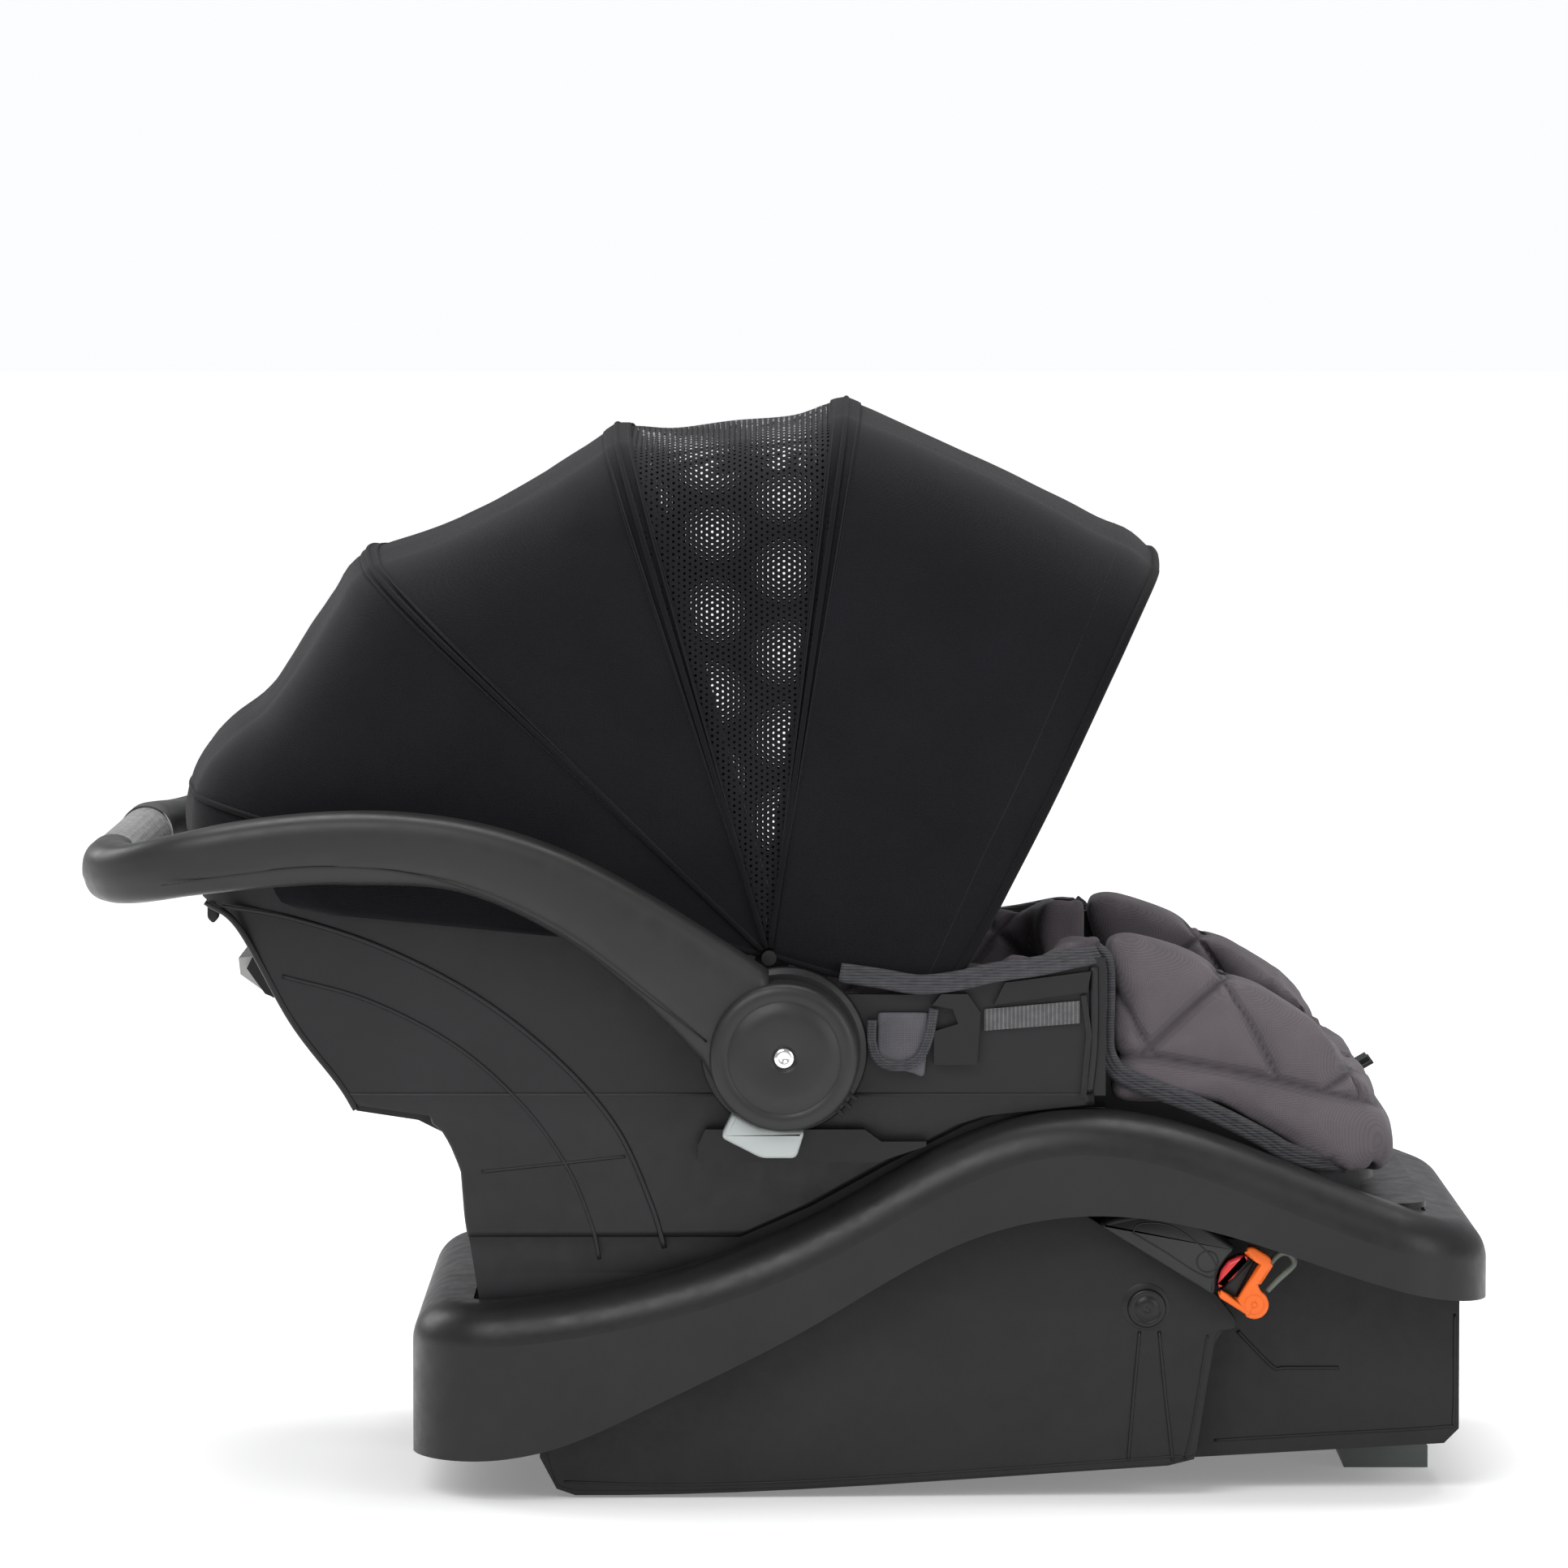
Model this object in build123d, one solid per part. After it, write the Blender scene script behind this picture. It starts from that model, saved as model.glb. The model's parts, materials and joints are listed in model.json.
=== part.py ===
from build123d import *
import math
import os

# Infant car seat: a carrier with a carry handle and a folding canopy, standing in its base.
# Millimetres. +X runs from the head end to the foot end, +Y to the far side, +Z up.
# The handle turns about the line x = 0, z = HUB_Z. The floor is z = 0, and the whole seat is
# symmetric about y = 0. Side outlines are drawn as (x, z), plans as (x, y).

# ---------------------------------------------------------------- driving dimensions
HUB_Z = 242.0
HUB_R = 39.5
HUB_FACE = 222.0                 # outer face of the hub covers: half the overall width
ARM_OUT, ARM_IN = 215.0, 182.0   # the carry handle's arms
BAR_END = -378.0                 # rear face of the carry handle
GRIP_X, GRIP_Z, GRIP_R, GRIP_HALF = -363.0, 337.0, 14.5, 112.0
BAR_THICK = 28.0                 # fore-and-aft thickness of the handle's cross bar
CORE_R = 9.0
PIN_R, FIT = 12.0, 0.05          # handle pins and their running clearance

SHELL_HALF = 170.0
SHELL_WALL = 4.0
FRONT_HALF = 139.0               # the shell's half width where the leg pad covers it
LINER = 8.0
PAD = 13.0
GAP = 0.4                        # clearance between pieces that only lie against each other

TRAY_REAR, TRAY_FRONT, TRAY_HALF = -200.0, 378.0, 196.0
TRAY_LAND, TRAY_WALL = 33.0, 3.0
HOUSING_HALF, HOUSING_NARROW, HOUSING_FRONT = 170.0, 145.0, 364.0
FOOT_PIN = (194.3, 102.7)

PIVOT = (-8.0, 291.0)            # canopy pivot
BOW_WIDE, BOW_THICK = 8.0, 2.0
BOW_REAR, BOW_MID, BOW_FRONT = 136.0, 106.7, 81.8
CANOPY_HALF, CLOTH = 177.0, 1.6

STRAP_WIDE, STRAP_THICK = 38.0, 1.6


# ---------------------------------------------------------------- drawing helpers
def outline(*points):
    """A closed face through straight-sided points."""
    return make_face(Polyline(*points, close=True))


def closed(*curves):
    """A closed face from curves that meet end to end."""
    return make_face([edge for c in curves for edge in c.edges()])


def across(face, y_low, y_high):
    """A side-view face filled from y_low to y_high."""
    return Pos(0, y_high, 0) * Rot(90, 0, 0) * extrude(face, amount=y_high - y_low)


def slab(face, half):
    return across(face, -half, half)


def upright(face, z_low, z_high):
    """A plan face filled from z_low to z_high."""
    return Pos(0, 0, z_low) * extrude(face, amount=z_high - z_low)


def lengthwise(face, x_low, x_high):
    """A cross-section (y, z) filled from x_low to x_high."""
    return Pos(x_low, 0, 0) * extrude(Plane.YZ * face, amount=x_high - x_low)


def block(x, y, z):
    """A box from pairs of limits."""
    size = [b - a for a, b in (x, y, z)]
    middle = [(a + b) / 2 for a, b in (x, y, z)]
    return Pos(*middle) * Box(*size)


def y_rod(centre, radius, y_low, y_high):
    return across(Pos(*centre) * Circle(radius), y_low, y_high)


def strip(path, width):
    """A band of the given width along a side-view path."""
    return trace(path, line_width=width)


def polar(angle, radius, centre):
    a = math.radians(angle)
    return (centre[0] + radius * math.cos(a), centre[1] + radius * math.sin(a))


def mirrored(shape):
    return mirror(shape, about=Plane.XZ)


def pair(shape):
    """A near-side piece and its mirror image, as one group of separate solids."""
    return Compound(children=[*shape.solids(), *mirrored(shape).solids()])


def group(*shapes):
    return Compound(children=[solid for shape in shapes for solid in shape.solids()])


# ---------------------------------------------------------------- base
TRAY_TOP = [(-215, 105), (-150, 107), (-72, 120), (15, 152), (90, 193), (145, 209),
            (200, 205), (274, 179), (335, 156), (392, 143)]
TRAY_LOW = [(-215, 24), (-167, 23), (-130, 28), (-72, 52), (15, 96), (101, 143),
            (160, 155), (231, 146), (317, 118), (392, 106)]
WELL_FLOOR = [(-215, 70), (-150, 60), (-60, 57), (20, 64), (80, 86), (140, 118),
              (195, 141), (260, 152), (392, 158)]


def band(low, high, low_shift=0.0, high_shift=0.0):
    """A side-view face between two curves that share their end stations."""
    lower = Spline(*[(x, z + low_shift) for x, z in low])
    upper = Spline(*[(x, z + high_shift) for x, z in high])
    return closed(lower, Line(lower @ 1, upper @ 1), upper, Line(upper @ 0, lower @ 0))


def tray_plan(inset, radius):
    length = TRAY_FRONT - TRAY_REAR - 2 * inset
    middle = (TRAY_FRONT + TRAY_REAR) / 2
    return Pos(middle, 0) * RectangleRounded(length, 2 * (TRAY_HALF - inset), radius)


def tray_form(inset, low_shift):
    """The tray's outer form, moved in by inset, with its large rounded shoulder."""
    body = slab(band(TRAY_LOW, TRAY_TOP, low_shift, -inset), TRAY_HALF + 5)
    body &= upright(tray_plan(inset, 52 - inset), 0, 230)
    shoulder = [e for e in body.edges() if e.center().Z > 0 and e in top_face(body).edges()]
    return fillet(shoulder, 22 - inset)


def top_face(body):
    return max(body.faces(), key=lambda f: f.area * max(f.normal_at().Z, 0))


def base_tray():
    """Upper moulding: an open channel for a rim, around a well with a waved floor."""
    rim = tray_form(0, 0) - tray_form(TRAY_WALL, -60)
    well = upright(tray_plan(TRAY_LAND, 12), 0, 230)
    collar = upright(tray_plan(TRAY_LAND - TRAY_WALL, 15), 0, 230) - well
    above = slab(band(WELL_FLOOR, TRAY_TOP), TRAY_HALF)
    floor = slab(band(WELL_FLOOR, WELL_FLOOR, 0, TRAY_WALL), TRAY_HALF) & well
    return rim - well + (collar & above) + floor


SOLE = [(-112, 1.5), (-60, 2), (15, 5), (110, 11), (206, 17.5)]
HOUSING_WIDE = [(206, 17.5), (220, 21), (231, 84), (236, 92)]
HOUSING_TOP = [(190, 126), (140, 114), (80, 81), (20, 60), (-60, 53), (-131, 54)]
HOUSING_INSIDE = [(-128, 200), (-128, 23), (-120, 8), (-111, 4.5), (-60, 5), (15, 8), (110, 14),
                  (206, 20.5), (217.5, 24), (228, 84.5), (232.5, 91), (163, 143), (163, 200)]
HOUSING_SLIM = [(150, 13), (206, 17.5), (356, 26), (364, 34)]


def wide_side():
    """Side outline of the housing's wide part."""
    heel = Polyline(HOUSING_TOP[-1], (-131, 22), (-122, 5), SOLE[0])
    return closed(heel, Spline(*SOLE), Polyline(*HOUSING_WIDE, *HOUSING_TOP))


def base_housing():
    """Lower moulding: an open-topped box under the tray, narrower at the front."""
    wide = slab(wide_side(), HOUSING_HALF)
    slim = slab(outline(*HOUSING_SLIM, (364, 103), (300, 134), (233, 137), (195, 127), (150, 111)),
                HOUSING_NARROW)
    hollow_wide = slab(outline(*HOUSING_INSIDE), HOUSING_HALF - 3)
    hollow_slim = slab(offset(outline(*HOUSING_SLIM, (364, 200), (150, 200)), -3.0), HOUSING_NARROW - 3)
    body = (wide + slim) - (hollow_wide + hollow_slim)
    body -= block((149, 186), (-175, 175), (107.9, 110.7))
    body -= foot_bay()
    body -= y_rod(FOOT_PIN, 6.0, -180, 180)
    body -= sole_pads()
    return body


def foot_bay():
    """Open bay under the front for the recline foot and its legs."""
    return block((240, 380), (-62, 62), (-5, 60))


def sole_pads():
    """Rubber strips let into the housing's sole; the seat stands on them at the rear."""
    strips = [block((-110, -60), (y - 22, y + 22), (0, 4.5)) for y in (-100, 0, 100)]
    return group(*strips)


def foot_pins():
    """Turned pins on which the recline foot swings; their round heads show on the sides."""
    pin = y_rod(FOOT_PIN, 6.0, -169, -52) + y_rod(FOOT_PIN, 10.0, -173, -170)
    pin += y_rod(FOOT_PIN, 6.0, -170.5, -168.5)
    return pair(pin)


def recline_foot():
    """Front foot: two legs on the pins, joined by a broad sole."""
    leg = outline((186, 111), (203, 111), (330, 40), (354, 12), (354, 0), (308, 0), (304, 12), (186, 92))
    legs = pair(across(leg, -60, -50))
    sole = slab(outline((304, 12), (308, 0), (354, 0), (354, 12), (346, 19), (312, 19)), 50)
    return legs + sole - y_rod(FOOT_PIN, 6.0 + FIT, -80, 80)


def latch_bars():
    """Steel cross bars in the well that the carrier's feet stand over."""
    return group(*[y_rod((x, z), 5.0, -160, 160) for x, z in ((-128, 80), (150, 141))])


def tray_screws():
    """Screws up through the housing's top edge into the tray."""
    screws = []
    for x, z in ((-90, 44), (0, 48), (80, 66)):
        screws.append(Pos(x, 150, z) * Cylinder(3.0, 12) + Pos(x, 150, z - 7) * Cylinder(5.5, 3))
    return pair(group(*screws))


# lower anchor connectors, stowed in the housing's side notches under the tray's rim
CONNECTOR_TILT = -37.6
CONNECTOR_AT = (209.5, 130.2)
CONNECTOR_OUT, CONNECTOR_IN = -188.0, -167.5


def along_notch(face, y_low, y_high):
    """A face drawn along the notch's slope, put in its place beside the housing."""
    placed = Pos(*CONNECTOR_AT) * Rot(0, 0, CONNECTOR_TILT) * face
    return across(placed, CONNECTOR_OUT + y_low, CONNECTOR_OUT + y_high)


def connectors():
    """Moulded cases of the two lower anchor connectors."""
    width = CONNECTOR_IN - CONNECTOR_OUT
    case = along_notch(RectangleRounded(60, 25, 7), 0, width)
    bay = along_notch(Rectangle(50, 19), 3, width - 3)
    mouth = along_notch(Pos(26, 0) * Rectangle(12, 10), 3, width - 3)
    port = along_notch(Pos(17, 10) * Rectangle(13, 14), 5, 15)
    tail = along_notch(Pos(-27, 0) * Rectangle(12, 7), 7, 13)
    return pair(case - bay - mouth - port - tail)


def connector_jaws():
    """Steel hook plates inside the connector cases, held by two ribs each."""
    plate = Rectangle(48, 12) - Pos(18, -2) * Rectangle(18, 5)
    return pair(along_notch(plate, 8, 12))


def connector_button(near):
    """Red release button on the connector's upper edge."""
    cap = along_notch(Pos(17, 13.2) * Rectangle(12, 6), 5.5, 14.5)
    return cap if near else mirrored(cap)


def storage_clips():
    """Clips that hold the stowed connectors at the housing's front corners."""
    hook = across(strip(Polyline((249, 150), (256, 134), (248, 122), (254, 108)), 5), -186, -171)
    return pair(hook + y_rod((254, 107), 6, -186, -171))


def anchor_loops():
    """Bent wire loops beside the clips, where the stowed hooks grip."""
    return pair(across(strip(Polyline((264, 118), (271, 128), (279, 133)), 4), -184, -169))


def anchor_strap():
    """Webbing across the base between the two connectors, ending in slots in the housing's sides."""
    return block((150, 185), (-169.5, 169.5), (108.5, 108.5 + STRAP_THICK))


# ---------------------------------------------------------------- carrier shell
RIM = [(-316, 332), (-250, 336), (-120, 306), (-45, 272), (77, 271), (112, 280), (168, 291)]
FRONT_RIM = [(320, 166), (318, 182), (308, 208), (285, 243), (240, 279), (200, 292), (168, 291)]
BACK = [(-316, 332), (-312, 322), (-293, 309), (-265, 259), (-239, 226), (-229, 208), (-196, 203),
        (-182, 196), (-173, 177), (-171, 151), (-163, 100), (-155, 78), (-132, 50)]
INSIDE = [(-304, 345), (-262, 268), (-212, 214), (-168, 156), (-144, 100), (-118, 78), (0, 77),
          (60, 92), (120, 124), (180, 154), (240, 172), (308, 176)]


def shell_side():
    """Side outline of the carrier shell, whose underside follows the well's floor."""
    under = band(WELL_FLOOR, WELL_FLOOR, -200, TRAY_WALL + GAP)
    return outline(*BACK, (300, 50), (312, 165), *FRONT_RIM, *reversed(RIM[1:-1])) - under


def shell_width(inset):
    """Cross-section of the shell: upright above, drawn in to stand in the well below."""
    half = SHELL_HALF - inset
    low, middle = 156 - inset, 162.4 - inset
    right = [(low, 40), (low, 120), (middle, 190), (middle, 210), (half, 217), (half, 460)]
    left = [(-y, z) for y, z in reversed(right)]
    return lengthwise(outline(*right, *left), -420, 420)


def shell_plan(inset):
    """Plan of the shell: narrower towards the foot end, with rounded corners."""
    wide, slim = SHELL_HALF - inset, FRONT_HALF - inset
    rear, front, step = -317 + inset, 321 - inset, 172 - inset
    points = [(rear, -wide), (step, -wide), (step, -slim), (front, -slim), (front, slim), (step, slim),
              (step, wide), (rear, wide)]
    face = outline(*points)
    corners = [v for v in face.vertices() if abs(v.X - rear) < 1 or abs(v.X - front) < 1]
    return upright(fillet(corners, 45 - inset / 2), 0, 460)


def bucket_side(rise):
    """Side outline of the bucket's inside, raised by rise along its slope."""
    hollow = outline(*INSIDE, (330, 190), (330, 470), (-360, 470), (-360, 360))
    return offset(hollow, -rise, kind=Kind.INTERSECTION)


def bucket(inset, rise):
    """The hollow of the carrier, with its walls moved in by inset and its bottom up by rise."""
    return slab(bucket_side(rise), 300) & shell_width(inset) & shell_plan(inset)


LATCH_BARS = [(-128, 80), (150, 141)]


def carrier_shell():
    """Moulded bucket with hub bosses outside and grooves that stand over the latch bars."""
    whole = slab(shell_side(), SHELL_HALF) & shell_width(0) & shell_plan(0)
    shell = whole - bucket(SHELL_WALL, 0) + (whole & beyond_step(SHELL_WALL))
    for x, z in LATCH_BARS:
        shell -= y_rod((x, z), 5.6, -180, 180) + block((x - 5.6, x + 5.6), (-180, 180), (40, z))
    shell += pair(y_rod((0, HUB_Z), 41, -181, -169))
    shell -= y_rod((0, HUB_Z), PIN_R, -185, 185)
    shell -= strap_bay()
    shell += pair(across(outline(*LEVER_RAIL), -66, -58))
    shell -= pair(across(strip(Line((-262, 262), (-200, 230)), 6), -54, -14))
    return shell


def beyond_step(inset):
    """Room behind the step of the shell's back, and the inset inside that step."""
    behind = outline(*BACK, (-100, 50), (-100, 332))
    step = outline((-262, 140), (-140, 140), (-140, 226), (-262, 226))
    return slab(step - offset(behind, -inset, kind=Kind.INTERSECTION), 200)


def strap_bay():
    """Recess behind the back, where the shoulder straps meet the splitter plate."""
    behind = outline((-300, 275), (-270, 275), (-214, 202), (-214, 190), (-300, 190))
    return slab(behind, 56) - slab(offset(bucket_side(0), SHELL_WALL), 80)


LEVER_RAIL = [(-255, 250), (-284, 262), (-294, 276), (-286, 292), (-267, 271)]


def foam_liner():
    """Energy-absorbing foam around the head, the back and the sides."""
    layer = bucket(SHELL_WALL + GAP, GAP) - bucket(SHELL_WALL + LINER, LINER)
    kept = outline((-400, 92), (-100, 92), (165, 150), (165, 284), (112, 272), (77, 264), (-45, 264),
                   (-120, 298), (-250, 328), (-400, 328))
    return (layer & slab(kept, 300)) - y_rod((0, HUB_Z), 24, -190, 190) - strap_slots() - beyond_step(SHELL_WALL + GAP)


# ---------------------------------------------------------------- seat pads
PAD_SIDE = SHELL_WALL + LINER + GAP          # walls of the hollow that the pads line
PAD_FLOOR = LINER + GAP                      # and its bottom
SIDE_TOP = [(-298, 322), (-246, 338), (-120, 318), (-45, 292), (60, 292), (110, 314), (150, 318),
            (171.6, 314), (171.6, 60), (-400, 60), (-400, 322)]


def pad_floor():
    """The bottom and back layer of the cushion."""
    return bucket(PAD_SIDE, PAD_FLOOR) - bucket(0, PAD_FLOOR + PAD)


def back_pad():
    """Quilted panel behind the back and the head."""
    behind = outline((-310, 322), (-200, 345), (-92 - GAP, 150), (-126 - GAP, 118), (-126 - GAP, 60), (-400, 60))
    return (pad_floor() & slab(behind, 300)) - strap_slots() - beyond_step(SHELL_WALL + GAP)


def seat_pad():
    """Quilted panel under the thighs."""
    under = outline((-126, 60), (-126, 118), (-92, 150), (171.6, 190), (171.6, 60))
    return (pad_floor() & slab(under, 300)) - block((14, 46), (-22, 22), (60, 140))


def side_pads():
    """Quilted panels along both sides, standing above the shell's rim."""
    layer = bucket(PAD_SIDE, PAD_FLOOR + PAD + GAP) - bucket(PAD_SIDE + PAD, -40)
    return layer & slab(outline(*SIDE_TOP), 300)


COVER = [(173, 214), (233, 208), (277, 183), (308, 170), (326, 171), (331, 178), (324, 204), (308, 230),
         (285, 258), (240, 289), (200, 306), (173, 314)]


def leg_pad():
    """Quilted cover over both sides and the lip of the shell's foot end."""
    form = slab(outline(*COVER), 153) & upright(
        fillet([v for v in Rectangle(300, 306).vertices() if v.X > 0], 46).moved(Location((182, 0))), 0, 400)
    shell = slab(offset(shell_side(), GAP), FRONT_HALF + GAP)
    hollow = bucket(PAD_SIDE + PAD - LINER, PAD_FLOOR + PAD - LINER)
    return form - (shell - bucket(SHELL_WALL + GAP, GAP)) - hollow - tail_channel()


def tail_channel():
    """Groove in the leg pad that the harness's free end lies in."""
    return across(strip(Polyline(*TAIL), 9), -20, 20)


def strap_slots():
    return pair(across(strip(Line((-262, 262), (-190, 225)), 6), -54, -14))


def head_pillow():
    """Soft head support lying on the back pad."""
    bolster = across(outline((-232, 268), (-204, 236), (-176, 258), (-204, 290)), -98, -62)
    bridge = slab(outline((-238.4, 275), (-203, 232.5), (-196, 238), (-231, 281)), 62.0)
    return (pair(bolster) + bridge) - bucket_below_pad() - shoulder_belt(1.2)


def bucket_below_pad():
    """Everything under the surface of the pads."""
    return block((-420, 420), (-200, 200), (0, 460)) - bucket(PAD_SIDE + PAD + GAP, PAD_FLOOR + PAD + GAP)


# ---------------------------------------------------------------- harness
SHOULDER = [(-257, 259.4), (-200, 230.2), (-188, 231), (-141.5, 171.5), (-113, 128), (-62, 114.5)]


def shoulder_belt(room):
    """The two shoulder straps' route, widened by room for what they pass through."""
    path = Polyline(*SHOULDER)
    wide = STRAP_THICK + 2 * room
    return pair(across(strip(path, wide), -33 - STRAP_WIDE / 2 - room, -33 + STRAP_WIDE / 2 + room))


def shoulder_straps():
    return shoulder_belt(0)


def strap_covers():
    """Padded sleeves around the shoulder straps."""
    face = strip(Line((-184, 225.9), (-158, 192.6)), 12)
    return pair(across(face, -60, -6)) - shoulder_belt(0.3)


def chest_clip():
    """Two interlocking halves that hold the shoulder straps together."""
    face = strip(Line((-155, 188.8), (-143, 173.4)), 8)
    half = across(face, -55, -0.2) - shoulder_belt(0.3)
    return pair(half)


def hip_straps():
    return pair(block((-96, -60), (-129, -20), (106, 106 + STRAP_THICK)))


def crotch_strap():
    path = Polyline((30, 88), (30, 108), (8, 112))
    return across(strip(path, STRAP_THICK), -19, 19)


BUCKLE_Z = (103.0, 123.0)


def buckle():
    """Buckle case with slots for the tongues and a well for the button."""
    case = extrude(RectangleRounded(64, 54, 12), amount=BUCKLE_Z[1] - BUCKLE_Z[0])
    case = Pos(-24, 0, BUCKLE_Z[0]) * case
    case = fillet(case.faces().sort_by(Axis.Z)[-1].edges(), 4)
    case -= block((-18, 6), (-12, 12), (110, 140))
    case -= pair(block((-60, -24), (-22, -3), (111, 114.5)))
    case -= block((4, 12), (-19.5, 19.5), (108, 115))
    return case


def buckle_button():
    return block((-17.6, 5.6), (-11.6, 11.6), (114, 124.5))


def tongues():
    """Steel tongues on the ends of the shoulder and hip straps."""
    return pair(block((-60, -25), (-21.5, -3.5), (111.3, 114.2)))


def harness_adjuster():
    """Harness adjuster let into the pad at the foot end."""
    case = block((222, 250), (-24, 24), (187, 201)) - block((232, 244), (-16.4, 16.4), (193, 210))
    return case - block((215, 260), (-19.5, 19.5), (190, 193))


def adjuster_button():
    return block((232.4, 243.6), (-16, 16), (196, 204))


TAIL = [(226, 191.5), (262, 191.5), (290, 197.5), (312, 212), (326, 220)]


def adjuster_tail():
    """Free end of the harness adjustment strap, with its stitched loop."""
    loop = across(strip(Line((313, 215), (324, 221.4)), 2.4), -12, 12)
    return across(strip(Polyline(*TAIL), STRAP_THICK), -19, 19) + loop


def splitter_plate():
    """Steel plate that joins both shoulder straps behind the shell."""
    return slab(strip(Line((-255.5, 251), (-245.5, 239)), 2.5), 54)


# ---------------------------------------------------------------- trim on the shell's sides
def side_trim(face, depth, start=SHELL_HALF + 0.3):
    """A flat piece on both sides of the shell."""
    return pair(across(face, -start - depth, -start))


def belt_guides():
    """Hooked guides on the rim that hold the lap belt when there is no base."""
    hook = outline((80, 234), (103, 234), (105, 262), (98, 272), (84, 272), (79, 266), (90, 264), (93, 256), (80, 252))
    return side_trim(hook, 6)


def rim_grips():
    return side_trim(outline((112, 266), (162, 273), (164, 284), (118, 278)), 4)


def rim_webbing():
    return side_trim(outline((107, 252), (158, 256), (158, 268), (107, 263.5)), 2)


def rim_elastics():
    return side_trim(strip(Polyline((160, 216), (163, 250), (160, 271)), 3), 2.4)


def side_flaps():
    return side_trim(outline((48, 236), (76, 226), (78, 262), (50, 262)), 5)


def hub_brackets():
    """Shoulders moulded under the hubs that carry the handle's load into the shell."""
    plate = outline((-46, 191), (-42, 199.5), (43, 199.5), (52, 193), (76, 193), (76, 190.5), (50, 182), (-46, 182))
    return side_trim(plate, 15, 162.6)


def rear_lever():
    """Lever behind the head end that lets the carrier off its base."""
    handle = outline((-280, 259), (-298, 272), (-299, 281), (-291, 282), (-270, 266))
    return slab(handle, 57.5)


# ---------------------------------------------------------------- canopy
CANOPY_TOP = [(-330, 354), (-325, 388), (-270, 449), (-232, 498), (-146, 538), (-40, 573), (60, 572), (204, 501)]
CANOPY_FRONT = [(204, 501), (184, 466), (145, 382), (119, 330), (92, 281)]
CANOPY_HEM = [(92, 281), (58, 285), (-8, 284), (-120, 308), (-250, 322), (-316, 318), (-330, 354)]


def canopy_side():
    """Side outline of the canopy's cloth."""
    return closed(Spline(*CANOPY_TOP), Polyline(*CANOPY_FRONT), Polyline(*CANOPY_HEM))


def canopy_form():
    """The canopy as a closed form with rounded shoulders."""
    body = slab(canopy_side(), CANOPY_HALF)
    shoulders = [e for e in body.edges() if abs(e.center().Y) > CANOPY_HALF - 0.1
                 and e.center().Z > 400 and e.length > 500]
    return fillet(shoulders, 34)


def drawn_in(form, thickness):
    """The form drawn in towards the pivot by about the cloth's thickness."""
    lengths = 1 - thickness / 290
    widths = 1 - thickness / CANOPY_HALF
    centred = form.moved(Location((-PIVOT[0], 0, -PIVOT[1])))
    return scale(centred, (lengths, widths, lengths)).moved(Location((PIVOT[0], 0, PIVOT[1])))


def sector(low, high, margin):
    """A side-view sector between two bow angles, less a margin at each edge."""
    corners = [polar(angle, 700, PIVOT) for angle in (low, (low + high) / 2, high)]
    face = outline(PIVOT, *corners)
    return slab(offset(face, -margin), 300)


def cloth_shell():
    """The canopy's cloth, open below and in front."""
    inner = drawn_in(canopy_form(), CLOTH)
    below = outline((-314.6, 290), (-314.6, 326), (-317, 333), (-300, 346), (-120, 335),
                    (-8, 320), (112, 330), (92, 270), (-8, 260))
    return canopy_form() - inner - inner.moved(Location((9, 0, -7))) - slab(below, CANOPY_HALF - CLOTH)


def canopy_rear(cloth):
    """Fixed rear panel, whose elastic skirt closes round the shell's head end."""
    return cloth & sector(BOW_REAR, 220, 0.3)


def canopy_quarter(cloth):
    """Cloth between the rear bow and the middle bow."""
    return cloth & sector(BOW_MID, BOW_REAR, 0.3)


def canopy_window(cloth):
    """Mesh panel between the middle bow and the front bow."""
    return cloth & sector(BOW_FRONT, BOW_MID, 0.3)


def canopy_visor(cloth):
    """Sun visor in front of the front bow."""
    return cloth & sector(-40, BOW_FRONT, 0.3)


def bow_reach(angle):
    """Distance from the pivot to just inside the cloth, at a bow's angle."""
    crossing = canopy_side() & Line(PIVOT, polar(angle, 700, PIVOT))
    return max((v.center() - Vector(*PIVOT)).length for v in crossing.vertices()) - CLOTH - 1.0


def bow(angle, half):
    """A flat sprung bow from both pivots across the canopy, with eyes on the pivot pins."""
    reach = bow_reach(angle) - BOW_THICK
    outer = Rectangle(2 * reach, 2 * half + BOW_THICK)
    outer = fillet(outer.vertices(), 38)
    inner = offset(outer, -BOW_THICK)
    loop = (outer - inner) & Pos(reach / 2, 0) * Rectangle(reach, 400)
    frame = Pos(0, 0, -BOW_WIDE / 2) * extrude(loop, amount=BOW_WIDE)
    frame = Pos(PIVOT[0], 0, PIVOT[1]) * Rot(0, -angle, 0) * frame
    eye = across(Pos(*PIVOT) * Circle(6.5), -half - BOW_THICK / 2, -half + BOW_THICK / 2)
    hole = y_rod(PIVOT, 4.0 + FIT, -190, 190)
    return frame + eye + mirrored(eye) - hole


def visor_frame():
    """Bent frame of the visor: forward along the hem, then up its front edge and across."""
    half = BOW_HALF[3]
    path = Polyline(PIVOT, (84, 287), (111, 336), (137, 388), (173, 466), (184, 487))
    leg = across(strip(path, 6), -half - BOW_THICK / 2, -half + BOW_THICK / 2)
    leg += across(Pos(*PIVOT) * Circle(6.5), -half - BOW_THICK / 2, -half + BOW_THICK / 2)
    bar = y_rod((184, 487), 3, -half + 0.5, half - 0.5)
    return leg + mirrored(leg) + bar - y_rod(PIVOT, 4.0 + FIT, -190, 190)


BOW_HALF = (163.6, 166.4, 169.2, 172.0)


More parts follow.
